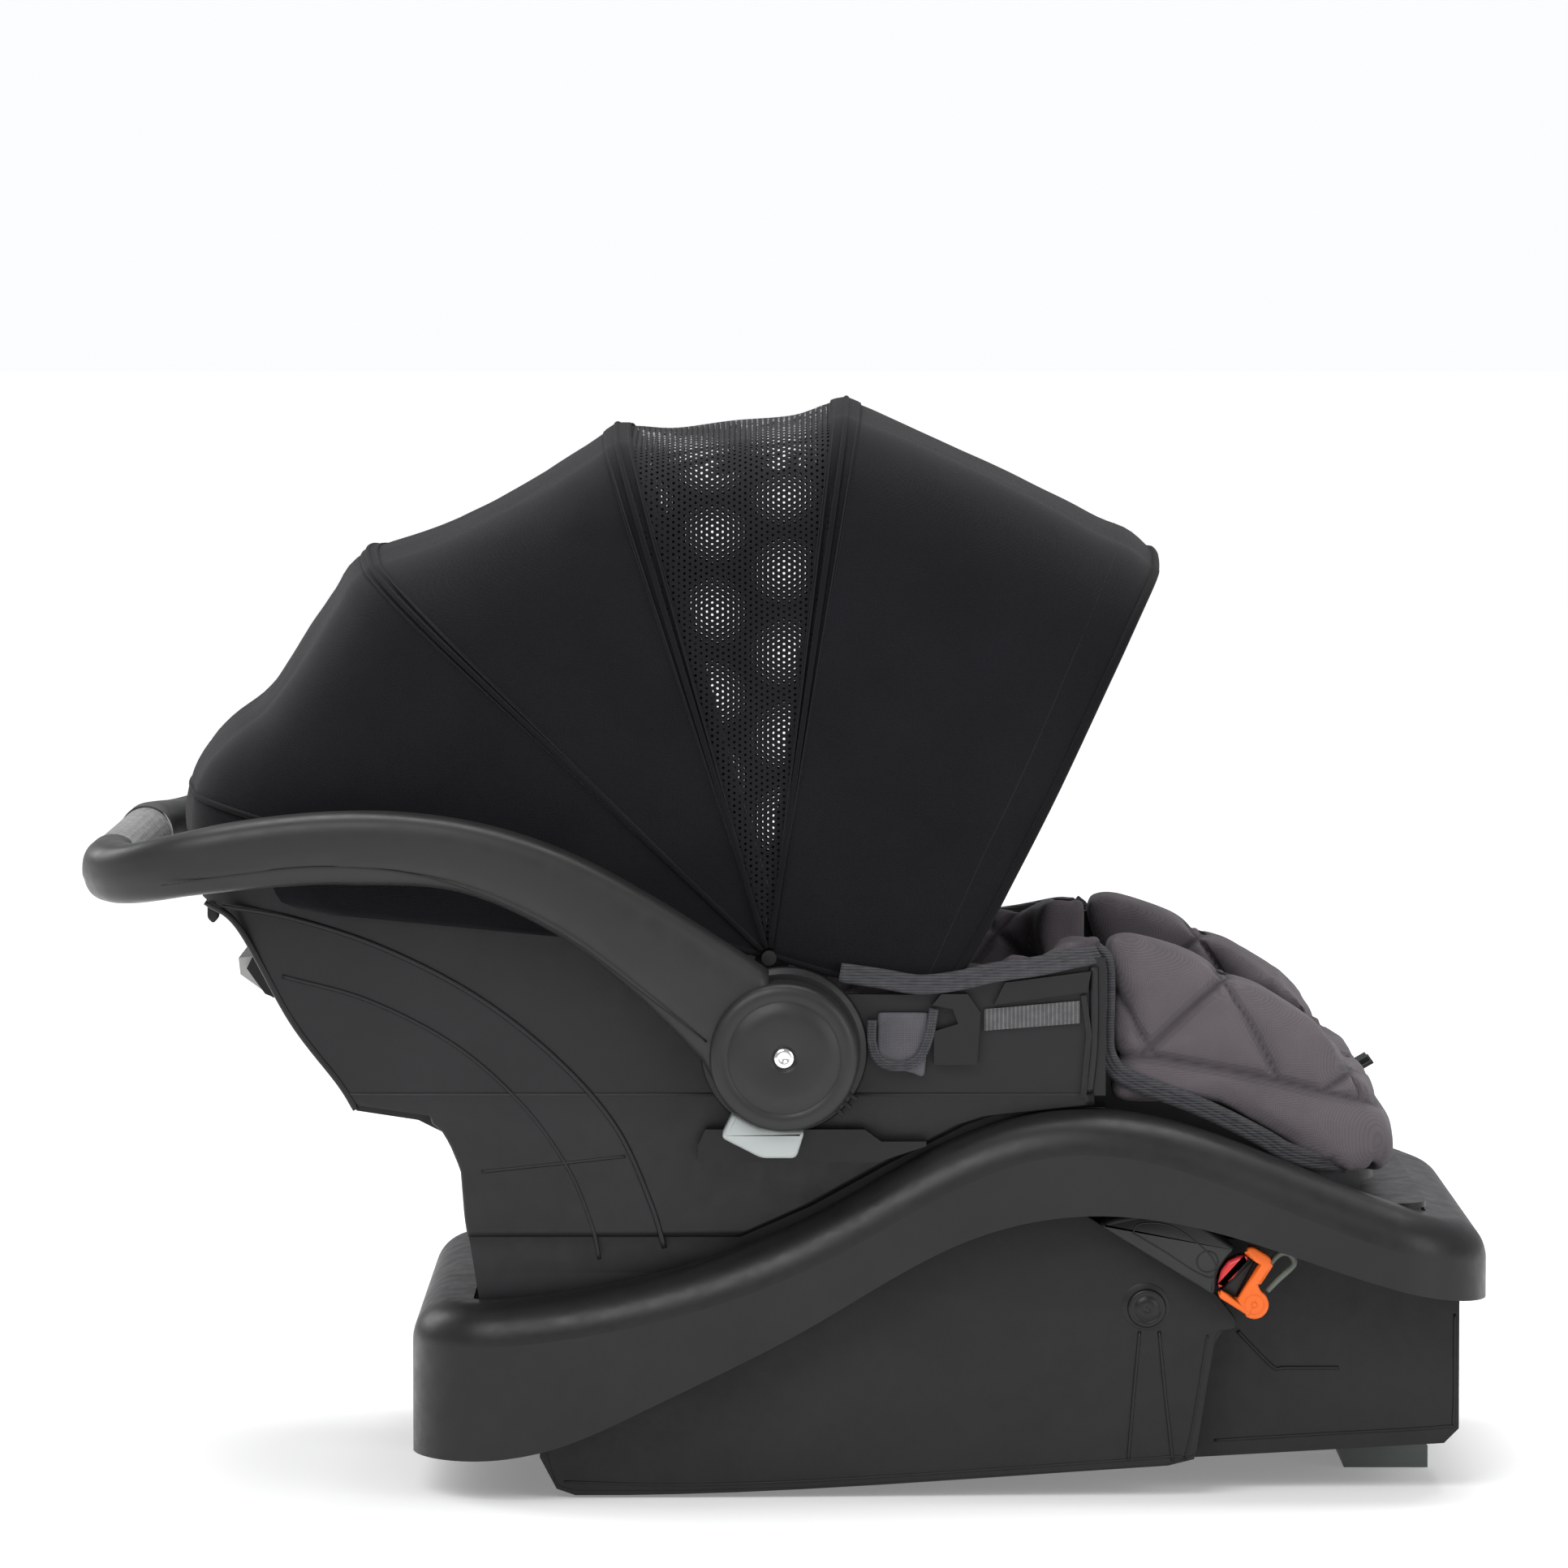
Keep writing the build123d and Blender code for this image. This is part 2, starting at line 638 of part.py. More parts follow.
def canopy_mounts():
    """Plates on the shell's rim with the pins that the bows turn on."""
    plate = across(outline((-20, 264.4), (4, 264.4), (2, 296), (-6, 299.5), (-14, 298)), -162, -158)
    foot = block((-20, 4), (-SHELL_HALF + SHELL_WALL, -158), (264.4, 270))
    return pair(plate + foot + y_rod(PIVOT, 4.0, -174, -159))


# ---------------------------------------------------------------- carry handle
ARM_TOP = [(-378, 344), (-366, 352), (-348, 353), (-286, 366), (-200, 371), (-114, 350), (-28, 300), (0, 281.5)]
ARM_LOW = [(-378, 328), (-362, 320), (-340, 322), (-264, 331), (-174, 329), (-110, 300), (-60, 258), (-30, 217)]


def handle_form():
    """The whole handle: its side outline across a rounded U in plan."""
    arm = closed(Spline(*ARM_TOP), Line(ARM_TOP[-1], (0, HUB_Z)), Line((0, HUB_Z), ARM_LOW[-1]),
                 Spline(*ARM_LOW), Line(ARM_LOW[0], ARM_TOP[0])) + Pos(0, HUB_Z) * Circle(HUB_R)
    corners = [v for v in Rectangle(480, 2 * ARM_OUT).vertices() if v.X < 0]
    outer = fillet(corners, 62).moved(Location((BAR_END + 240, 0)))
    inner_corners = [v for v in Rectangle(480, 2 * ARM_IN).vertices() if v.X < 0]
    inner = fillet(inner_corners, 34).moved(Location((BAR_END + BAR_THICK + 240, 0)))
    return slab(arm, ARM_OUT) & upright(outer - inner, 150, 420)


def handle_arm(near):
    """One arm with its rear corner, bored for its pin, the grip's core and the button."""
    side_of = block((-400, 100), (-230, -GRIP_HALF - 0.3), (100, 420))
    arm = handle_form() & side_of
    arm -= grip_core()
    arm -= y_rod((0, HUB_Z), PIN_R + FIT, -230, -170)
    arm -= across(button_well(), -206, -190)
    arm -= y_rod((0, HUB_Z), 30, -230, -ARM_OUT + 3)
    return arm if near else mirrored(arm)


def grip_core():
    return y_rod((GRIP_X, GRIP_Z), CORE_R, -150, 150)


def handle_grip():
    """Soft ribbed sleeve on the grip."""
    return y_rod((GRIP_X, GRIP_Z), GRIP_R, -GRIP_HALF, GRIP_HALF) - grip_core()


def hub_covers():
    """Round covers on the hubs, spigoted into the arms."""
    cover = y_rod((0, HUB_Z), HUB_R, -HUB_FACE, -ARM_OUT) + y_rod((0, HUB_Z), 29.9, -ARM_OUT - 1, -ARM_OUT + 3)
    cover -= y_rod((0, HUB_Z), 5.5, -HUB_FACE - 1, -HUB_FACE + 3)
    return pair(cover)


def hub_rivets():
    return pair(y_rod((0, HUB_Z), 5.5, -HUB_FACE, -HUB_FACE + 3))


def handle_pins():
    """Headed pins through the shell's bosses that the arms turn on."""
    return pair(y_rod((0, HUB_Z), PIN_R, -ARM_OUT + 4, -160) + y_rod((0, HUB_Z), 18, -165.6, -162))


BUTTON_TURN = math.degrees(math.atan2(197.7 - HUB_Z, -10.7))


def button_well():
    """Radial pocket in the hub's lower edge for the release button's stem."""
    return Pos(*polar(BUTTON_TURN, 30, (0, HUB_Z))) * Rot(0, 0, BUTTON_TURN) * Rectangle(24, 17)


def release_button(near):
    """Button under the hub that frees the handle; its stem runs in the hub's pocket."""
    turn = Pos(0, HUB_Z) * Rot(0, 0, BUTTON_TURN)
    stem = turn * Pos(34, 0) * Rectangle(20, 16.4)
    cap = Pos(0, HUB_Z) * Rot(0, 0, BUTTON_TURN) * Pos(49.5, 0) * Rectangle(9.5, 38)
    button = across(fillet(cap.vertices(), 2.5), -210, -186) + across(stem, -205.7, -190.3)
    return button if near else mirrored(button)


# ---------------------------------------------------------------- export
def nodes():
    cloth = cloth_shell()
    return {
        "base_tray": base_tray(),
        "base_housing": base_housing(),
        "base_sole_pads": sole_pads(),
        "base_foot_pins": foot_pins(),
        "base_latch_bars": latch_bars(),
        "base_screws": tray_screws(),
        "anchor_connectors": connectors(),
        "anchor_jaws": connector_jaws(),
        "anchor_button_near": connector_button(True),
        "anchor_button_far": connector_button(False),
        "anchor_strap": anchor_strap(),
        "anchor_clips": storage_clips(),
        "anchor_loops": anchor_loops(),
        "recline_foot": recline_foot(),
        "carrier_shell": carrier_shell(),
        "foam_liner": foam_liner(),
        "hub_brackets": hub_brackets(),
        "handle_pins": handle_pins(),
        "belt_guides": belt_guides(),
        "rim_grips": rim_grips(),
        "rim_webbing": rim_webbing(),
        "rim_elastics": rim_elastics(),
        "side_flaps": side_flaps(),
        "back_pad": back_pad(),
        "seat_pad": seat_pad(),
        "side_pads": side_pads(),
        "leg_pad": leg_pad(),
        "head_pillow": head_pillow(),
        "shoulder_straps": shoulder_straps(),
        "strap_covers": strap_covers(),
        "chest_clip": chest_clip(),
        "hip_straps": hip_straps(),
        "crotch_strap": crotch_strap(),
        "buckle": buckle(),
        "buckle_button": buckle_button(),
        "buckle_tongues": tongues(),
        "harness_adjuster": harness_adjuster(),
        "adjuster_button": adjuster_button(),
        "adjuster_tail": adjuster_tail(),
        "splitter_plate": splitter_plate(),
        "rear_lever": rear_lever(),
        "canopy_mounts": canopy_mounts(),
        "bow_rear": bow(BOW_REAR, BOW_HALF[0]),
        "bow_mid": bow(BOW_MID, BOW_HALF[1]),
        "bow_front": bow(BOW_FRONT, BOW_HALF[2]),
        "visor_frame": visor_frame(),
        "canopy_rear": canopy_rear(cloth),
        "canopy_quarter": canopy_quarter(cloth),
        "canopy_window": canopy_window(cloth),
        "canopy_visor": canopy_visor(cloth),
        "handle_arm_near": handle_arm(True),
        "handle_arm_far": handle_arm(False),
        "handle_core": grip_core(),
        "handle_grip": handle_grip(),
        "hub_covers": hub_covers(),
        "hub_rivets": hub_rivets(),
        "release_button_near": release_button(True),
        "release_button_far": release_button(False),
    }


os.makedirs("parts", exist_ok=True)
for name, shape in nodes().items():
    export_step(shape, "parts/" + name + ".step")
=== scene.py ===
import bpy, bmesh, math, json
import numpy as np
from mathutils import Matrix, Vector, noise


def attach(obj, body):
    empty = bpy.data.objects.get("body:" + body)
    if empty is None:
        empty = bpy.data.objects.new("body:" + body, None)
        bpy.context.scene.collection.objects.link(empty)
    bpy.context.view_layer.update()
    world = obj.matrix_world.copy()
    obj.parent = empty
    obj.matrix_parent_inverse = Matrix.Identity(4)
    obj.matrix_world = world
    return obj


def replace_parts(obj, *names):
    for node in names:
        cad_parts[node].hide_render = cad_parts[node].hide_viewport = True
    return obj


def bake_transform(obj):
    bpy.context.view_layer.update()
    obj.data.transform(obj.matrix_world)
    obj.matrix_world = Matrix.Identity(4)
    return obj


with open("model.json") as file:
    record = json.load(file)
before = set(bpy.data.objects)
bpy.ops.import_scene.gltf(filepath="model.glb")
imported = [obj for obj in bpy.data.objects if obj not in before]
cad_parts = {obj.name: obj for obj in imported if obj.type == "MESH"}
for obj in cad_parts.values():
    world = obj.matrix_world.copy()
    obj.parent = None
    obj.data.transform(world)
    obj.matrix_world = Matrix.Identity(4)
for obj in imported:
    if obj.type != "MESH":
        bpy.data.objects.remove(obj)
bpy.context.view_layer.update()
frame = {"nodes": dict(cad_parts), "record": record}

MM = 0.001
NODES = frame["nodes"]
SIDES = ((-1, "near"), (1, "far"))


# ------------------------------------------------------------------ materials
def new_material(name):
    m = bpy.data.materials.new(name)
    m.use_nodes = True
    t = m.node_tree
    return m, t, t.nodes["Principled BSDF"]


def link(t, a, b):
    t.links.new(a, b)


def node(t, kind, **values):
    """A shader node; each value goes to the socket of that name, or else to the setting."""
    n = t.nodes.new(kind)
    for k, v in values.items():
        if k in n.inputs:
            n.inputs[k].default_value = v
        else:
            setattr(n, k, v)
    return n


def maths(t, operation, *values):
    """Result of a Math node, whose inputs are sockets or numbers."""
    n = node(t, "ShaderNodeMath", operation=operation)
    for slot, v in zip(n.inputs, values):
        if isinstance(v, bpy.types.NodeSocket):
            link(t, v, slot)
        else:
            slot.default_value = v
    return n.outputs[0]


def ramp(t, fac, low, high, c0, c1):
    r = t.nodes.new("ShaderNodeValToRGB")
    for stop, place, colour in zip(r.color_ramp.elements, (low, high), (c0, c1)):
        stop.position = place
        stop.color = (*colour, 1)
    link(t, fac, r.inputs[0])
    return r.outputs[0]


def grey(v):
    return (v, v, v)


def times(colour, factor):
    return tuple(c * factor for c in colour)


def coords(t):
    return t.nodes.new("ShaderNodeTexCoord").outputs["Object"]


def speckle(t, co, **values):
    """Noise texture at the given coordinates."""
    n = node(t, "ShaderNodeTexNoise", **values)
    link(t, co, n.inputs["Vector"])
    return n.outputs["Fac"]


def split(t, co):
    n = t.nodes.new("ShaderNodeSeparateXYZ")
    link(t, co, n.inputs[0])
    return n.outputs


def stripes(t, distance, pitch):
    """Wave of one pitch along a distance."""
    return maths(t, "SINE", maths(t, "MULTIPLY", distance, 2 * math.pi / pitch))


def tinted(t, b, base, tint):
    """Put the product of two colours on the shader."""
    mix = node(t, "ShaderNodeMix", data_type="RGBA", blend_type="MULTIPLY")
    mix.inputs[0].default_value = 1.0
    link(t, base, mix.inputs[6])
    link(t, tint, mix.inputs[7])
    link(t, mix.outputs[2], b.inputs["Base Color"])


def raised(t, b, height, strength, distance):
    """Bump the shader's surface, over any bump that it already has."""
    bump = node(t, "ShaderNodeBump", Strength=strength, Distance=distance)
    link(t, height, bump.inputs["Height"])
    if b.inputs["Normal"].links:
        link(t, b.inputs["Normal"].links[0].from_socket, bump.inputs["Normal"])
    link(t, bump.outputs[0], b.inputs["Normal"])


def plastic(name, colour, rough=0.42, grain=1800.0, bump=0.06, wear=0.12):
    """Moulded plastic: fine grain, uneven gloss and faint scuffs."""
    m, t, b = new_material(name)
    co = coords(t)
    broad = speckle(t, co, Scale=14.0, Detail=4.0)
    scuff = speckle(t, co, Scale=90.0, Detail=6.0, Roughness=0.7)
    light_colour = tuple(min(1.0, c * (1 + wear) + 0.002) for c in colour)
    link(t, ramp(t, broad, 0.3, 0.7, times(colour, 1 - wear), light_colour), b.inputs["Base Color"])
    link(t, ramp(t, scuff, 0.35, 0.75, grey(rough - 0.05), grey(rough + 0.10)), b.inputs["Roughness"])
    raised(t, b, speckle(t, co, Scale=grain, Detail=2.0), bump, 0.0003)
    b.inputs["Specular IOR Level"].default_value = 0.32
    return m


def cloth(name, colour, thread=0.0009, bump=0.35, sheen=0.35, rough=0.9, mottled=0.25):
    """Woven cloth: crossed threads in three directions, so it needs no unwrapping."""
    m, t, b = new_material(name)
    co = coords(t)
    x, y, z = (stripes(t, s, thread) for s in split(t, co))
    crossed = maths(t, "ADD", maths(t, "MULTIPLY", y, z), maths(t, "MULTIPLY", x, y))
    weave = maths(t, "ADD", maths(t, "MULTIPLY", x, z), crossed)
    broad = speckle(t, co, Scale=22.0, Detail=5.0, Roughness=0.6)
    high = tuple(min(1, c * (1 + mottled)) for c in colour)
    base = ramp(t, broad, 0.3, 0.7, times(colour, 1 - mottled), high)
    tinted(t, b, base, ramp(t, weave, 0.0, 1.0, grey(0.72), grey(1.12)))
    raised(t, b, weave, bump, 0.0003)
    raised(t, b, speckle(t, co, Scale=900.0, Detail=2.0), 0.2, 0.0004)
    b.inputs["Roughness"].default_value = rough
    b.inputs["Sheen Weight"].default_value = sheen
    b.inputs["Sheen Roughness"].default_value = 0.5
    b.inputs["Specular IOR Level"].default_value = 0.2
    return m


def metal(name, colour, rough=0.25, brushed=400.0):
    m, t, b = new_material(name)
    fac = speckle(t, coords(t), Scale=brushed, Detail=3.0)
    link(t, ramp(t, fac, 0.3, 0.7, grey(rough - 0.06), grey(rough + 0.1)), b.inputs["Roughness"])
    link(t, ramp(t, fac, 0.3, 0.7, times(colour, 0.9), colour), b.inputs["Base Color"])
    b.inputs["Metallic"].default_value = 1.0
    return m


def ribbed(name, colour, pitch=0.0022, axis=1, rough=0.7, bump=0.8):
    """Soft moulded sleeve or webbing with ribs across one axis."""
    m, t, b = new_material(name)
    co = coords(t)
    rib = stripes(t, split(t, co)[axis], pitch)
    base = ramp(t, speckle(t, co, Scale=260.0, Detail=4.0), 0.3, 0.7, times(colour, 0.75), times(colour, 1.15))
    tinted(t, b, base, ramp(t, rib, 0.0, 0.8, grey(0.6), grey(1.05)))
    raised(t, b, rib, bump, 0.0005)
    b.inputs["Roughness"].default_value = rough
    b.inputs["Sheen Weight"].default_value = 0.04
    return m


def netting(name, colour, pitch=0.0034, open_share=0.35):
    """Knitted mesh with rows of round-cornered holes, on the sides and across the top."""
    m = cloth(name, colour, thread=0.0006, bump=0.2, sheen=0.05)
    t = m.node_tree
    along = split(t, coords(t))
    geometry = t.nodes.new("ShaderNodeNewGeometry")
    facing = maths(t, "ABSOLUTE", split(t, geometry.outputs["Normal"])[1])
    across = node(t, "ShaderNodeMix", data_type="FLOAT")
    link(t, maths(t, "GREATER_THAN", facing, 0.7), across.inputs[0])
    link(t, along[1], across.inputs[2])
    link(t, along[2], across.inputs[3])
    k = 4 * math.pi / (math.sqrt(3) * pitch)
    waves = []
    for angle in (0, 60, 120):
        a = math.radians(angle)
        phase = maths(t, "MULTIPLY_ADD", across.outputs[0], k * math.sin(a),
                      maths(t, "MULTIPLY", along[0], k * math.cos(a)))
        waves.append(maths(t, "COSINE", phase))
    total = maths(t, "ADD", maths(t, "ADD", waves[0], waves[1]), waves[2])
    link(t, maths(t, "LESS_THAN", total, 3.0 - 4.5 * open_share), t.nodes["Principled BSDF"].inputs["Alpha"])
    return m


def quilted(name, colour):
    """Knit cloth with sewn channels, whose distance in millimetres is stored on the mesh as "seam", with painted shade
    darkening the cloth along the channels.
    """
    m = cloth(name, colour, thread=0.0010, bump=0.28, sheen=0.10, mottled=0.12)
    t = m.node_tree
    b = t.nodes["Principled BSDF"]
    seam = node(t, "ShaderNodeAttribute", attribute_name="seam")
    near = maths(t, "MULTIPLY", seam.outputs["Fac"], 0.1)
    # painted shade: within about 2.4 mm of a seam the cloth's colour is multiplied down to 0.52, standing in for the
    # shade in the sewn grooves
    tinted(t, b, b.inputs["Base Color"].links[0].from_socket, ramp(t, near, 0.03, 0.24, grey(0.52), grey(1.0)))
    raised(t, b, ramp(t, near, 0.0, 0.42, grey(0.0), grey(1.0)), 0.9, 0.0022)
    return m


MAT = {
    "shell_black": plastic("shell_black", (0.0085, 0.0085, 0.0095), rough=0.45, grain=1500, bump=0.10),
    "tray_black": plastic("tray_black", (0.0095, 0.0095, 0.0100), rough=0.38, grain=1500, bump=0.08),
    "housing_black": plastic("housing_black", (0.0078, 0.0078, 0.0085), rough=0.50, grain=1200, bump=0.12),
    "handle_black": plastic("handle_black", (0.0165, 0.0172, 0.0165), rough=0.40, grain=2200, bump=0.05),
    "trim_black": plastic("trim_black", (0.0065, 0.0065, 0.0070), rough=0.38),
    "connector_black": plastic("connector_black", (0.016, 0.0165, 0.017), rough=0.40),
    "grip_grey": ribbed("grip_grey", (0.300, 0.300, 0.300), pitch=0.0026, axis=1, rough=0.75),
    "button_grey": plastic("button_grey", (0.380, 0.410, 0.400), rough=0.40, wear=0.05),
    "foot_grey": plastic("foot_grey", (0.100, 0.112, 0.108), rough=0.50),
    "lever_grey": plastic("lever_grey", (0.420, 0.430, 0.415), rough=0.45),
    "red_plastic": plastic("red_plastic", (0.560, 0.035, 0.040), rough=0.28, bump=0.02, wear=0.06),
    "orange_plastic": plastic("orange_plastic", (0.760, 0.130, 0.012), rough=0.32, bump=0.03, wear=0.08),
    "steel": metal("steel", (0.56, 0.56, 0.56), 0.30),
    "rivet_chrome": metal("rivet_chrome", (0.82, 0.82, 0.82), 0.14, 120.0),
    "wire": plastic("wire", (0.110, 0.130, 0.105), rough=0.40, wear=0.2),
    "sole_rubber": ribbed("sole_rubber", (0.020, 0.020, 0.020), pitch=0.004, axis=0, rough=0.85),
    "foam": plastic("foam", (0.750, 0.750, 0.740), rough=0.9, grain=400, bump=0.4),
    "canopy_cloth": cloth("canopy_cloth", (0.0048, 0.0048, 0.0068), thread=0.0011, bump=0.30, sheen=0.05),
    "canopy_mesh": cloth("canopy_mesh", (0.007, 0.007, 0.009), thread=0.0006, bump=0.2, sheen=0.05),
    "canopy_net": netting("canopy_net", (0.008, 0.008, 0.010)),
    "seam_tape": cloth("seam_tape", (0.0042, 0.0042, 0.0056), thread=0.0008, bump=0.35, sheen=0.04),
    "thread": cloth("thread", (0.012, 0.012, 0.015), thread=0.0005, bump=0.3, sheen=0.05),
    "quilt": quilted("quilt", (0.122, 0.106, 0.116)),
    "binding": ribbed("binding", (0.062, 0.062, 0.070), pitch=0.0015, axis=2, rough=0.9, bump=0.5),
    "flap_grey": cloth("flap_grey", (0.110, 0.106, 0.116), thread=0.0010, bump=0.3, sheen=0.10),
    "webbing": ribbed("webbing", (0.014, 0.014, 0.015), pitch=0.0016, axis=1, rough=0.85, bump=0.5),
    "webbing_grey": ribbed("webbing_grey", (0.115, 0.115, 0.118), pitch=0.0022, axis=0, rough=0.85, bump=0.5),
}


def dress(obj, name):
    """Give an object one of the finishes, shaded smooth."""
    obj.data.materials.clear()
    obj.data.materials.append(MAT[name])
    obj.data.polygons.foreach_set("use_smooth", [True] * len(obj.data.polygons))


def in_scene(name, data):
    o = bpy.data.objects.new(name, data)
    bpy.context.scene.collection.objects.link(o)
    return o


def add_object(name, mesh, mat, body):
    """A piece with its finish and slot; without a body it may be attached to one later."""
    o = in_scene(name, mesh)
    dress(o, mat)
    if body:
        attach(o, body)
    return o


def mesh_from(name, verts, faces):
    me = bpy.data.meshes.new(name)
    me.from_pydata([tuple(float(c) * MM for c in v) for v in verts], [], faces)
    me.update()
    return me


def grid(name, pts, wrap_c=False, caps=False, flip=False):
    """Mesh from rows of points (rows, cols, 3), in millimetres."""
    pts = np.asarray(pts, float)
    rows, cols = pts.shape[:2]
    faces = []
    for r in range(rows - 1):
        for c in range(cols if wrap_c else cols - 1):
            this, after = r * cols + c, r * cols + (c + 1) % cols
            faces.append((this, after, after + cols, this + cols))
    if caps:
        faces.append(tuple(reversed(range(cols))))
        faces.append(tuple(range((rows - 1) * cols, rows * cols)))
    if flip:
        faces = [tuple(reversed(f)) for f in faces]
    return mesh_from(name, pts.reshape(-1, 3), faces)


def smooth_path(points, count):
    """A smooth curve through the points (Catmull-Rom), sampled evenly."""
    p = np.array(points, float)
    if len(p) < 3:
        t = np.linspace(0, 1, count)[:, None]
        return p[0] * (1 - t) + p[-1] * t
    q = np.vstack([2 * p[0] - p[1], p, 2 * p[-1] - p[-2]])
    fine = []
    for i in range(1, len(q) - 2):
        for t in np.linspace(0, 1, 24, endpoint=False):
            a, b, c, d = q[i - 1], q[i], q[i + 1], q[i + 2]
            fine.append(0.5 * ((2 * b) + (c - a) * t + (2 * a - 5 * b + 4 * c - d) * t * t
                               + (3 * b - a - 3 * c + d) * t ** 3))
    fine.append(p[-1])
    return even(np.array(fine), count)


def even(fine, count):
    d = np.r_[0, np.cumsum(np.linalg.norm(np.diff(fine, axis=0), axis=1))]
    s = np.linspace(0, d[-1], count)
    return np.stack([np.interp(s, d, fine[:, k]) for k in range(fine.shape[1])], axis=1)


def tube(name, path, radius, mat, body, sides=12, flat=1.0):
    """A closed tube along a path; flat squeezes it along its second direction."""
    path = np.asarray(path, float)
    tan = np.gradient(path, axis=0)
    tan /= np.linalg.norm(tan, axis=1)[:, None]
    up = np.array([0.0, 1.0, 0.0]) if abs(tan[0][1]) < 0.9 else np.array([0.0, 0.0, 1.0])
    rows = []
    a = np.linspace(0, 2 * math.pi, sides, endpoint=False)
    for p, d in zip(path, tan):
        up = up - d * np.dot(up, d)
        up /= np.linalg.norm(up)
        side = np.cross(d, up)
        rows.append(p + radius * (np.cos(a)[:, None] * up * flat + np.sin(a)[:, None] * side))
    return add_object(name, grid(name, rows, wrap_c=True, caps=True), mat, body)


# ------------------------------------------------------------------ side outlines, in millimetres
PIVOT = np.array([-8.0, 291.0])
HUB = np.array([0.0, 242.0])
CANOPY_HALF = 175.5
BOWS = {"rear": 136.0, "mid": 106.7, "front": 81.8}

# top line of the canopy in the middle plane, from the head end to the visor's edge
TOP_LINE = smooth_path([(-296, 319), (-316, 327), (-327, 350), (-327, 374), (-319, 393), (-305, 409), (-286, 424),
                        (-269, 447), (-248, 480), (-233, 500), (-191, 515), (-146, 537), (-112, 558), (-90, 570.5),
                        (-60, 570), (-29, 573.5), (5, 577), (32, 584.5), (62, 574), (105, 554),
                        (150, 532), (173, 520), (190, 513), (203, 502)], 500)
VISOR_EDGE = smooth_path([(84, 272), (92, 281), (105, 303), (119, 330), (145, 382), (184, 466), (203, 502)], 120)


def reach(angle):
    """Distance from the pivot to the canopy's top line in a direction."""
    d = TOP_LINE - PIVOT
    a = np.degrees(np.arctan2(d[:, 1], d[:, 0]))
    r = np.hypot(d[:, 0], d[:, 1])
    order = np.argsort(a)
    return float(np.interp(angle, a[order], r[order]))


def arch(count, corner=62.0, height=270.0, crown=7.0, leg_in=9.0):
    """Cross-section of the canopy, from the near leg over the top to the far leg.
    Rows of (y, share of the height)."""
    side = -CANOPY_HALF
    pts = [(side + leg_in * (1 - z / height) ** 2, z) for z in np.linspace(0, height - corner, count // 3)]
    for a in np.radians(np.linspace(180, 90, count // 6)[1:]):
        pts.append((side + corner + corner * math.cos(a), height - corner + corner * math.sin(a)))
    for y in np.linspace(side + corner, 0, count // 4)[1:]:
        pts.append((y, height + crown * (1 - (y / (side + corner)) ** 2)))
    pts = np.array(pts)
    full = even(np.vstack([pts, pts[-2::-1] * (-1, 1)]), count)
    full[:, 1] /= height + crown
    return full


ARCH = arch(181)
WAIST = 5.0                 # every sheet narrows to this distance from the pivot


def crease(p, seed, size, amount):
    """Soft irregular folds."""
    q = Vector((p[0] / size + seed * 7.1, p[1] / size - seed * 3.3, p[2] / size + seed))
    return amount * noise.noise(q)


def canopy_rows(a0, a1, rows, seed=1.0, wrinkle=0.0, offset=0.0):
    """Rows of points of the cloth between two bow directions."""
    out = []
    for i, a in enumerate(np.linspace(a0, a1, rows)):
        u = i / (rows - 1)
        belly = 4 * u * (1 - u)
        t = math.radians(a)
        line = []
        for y, s in ARCH:
            d = WAIST + (reach(a) - WAIST) * s
            side = min(1.0, abs(y) / CANOPY_HALF)
            yy = y * (1 - 0.020 * belly * min(1, 2 * s) * side)
            x, z = PIVOT[0] + d * math.cos(t), PIVOT[1] + d * math.sin(t)
            w = wrinkle * min(1.0, 3 * s) * belly ** 0.5
            w = crease((x, yy, z), seed, 55.0, w) + crease((x, yy, z), seed + 5, 20.0, w * 0.35) + offset
            yy += w * math.copysign(1, y) * side ** 3
            up = w * (1 - side ** 3)
            line.append((x + up * math.cos(t), yy, z + up * math.sin(t)))
        out.append(line)
    return np.array(out)


def sheet(name, rows, thickness, mat, body=None, replaced=None, blend=None):
    """Cloth made as a sheet, with two faces and closed edges where it has a thickness."""
    o = add_object(name, grid(name, rows), mat, None)
    if thickness:
        m = o.modifiers.new("thickness", "SOLIDIFY")
        m.thickness = thickness * MM
        m.offset = 0.0
        m.use_even_offset = False
    if replaced:
        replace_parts(o, replaced)
    if blend:
        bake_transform(o)
    else:
        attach(o, body)


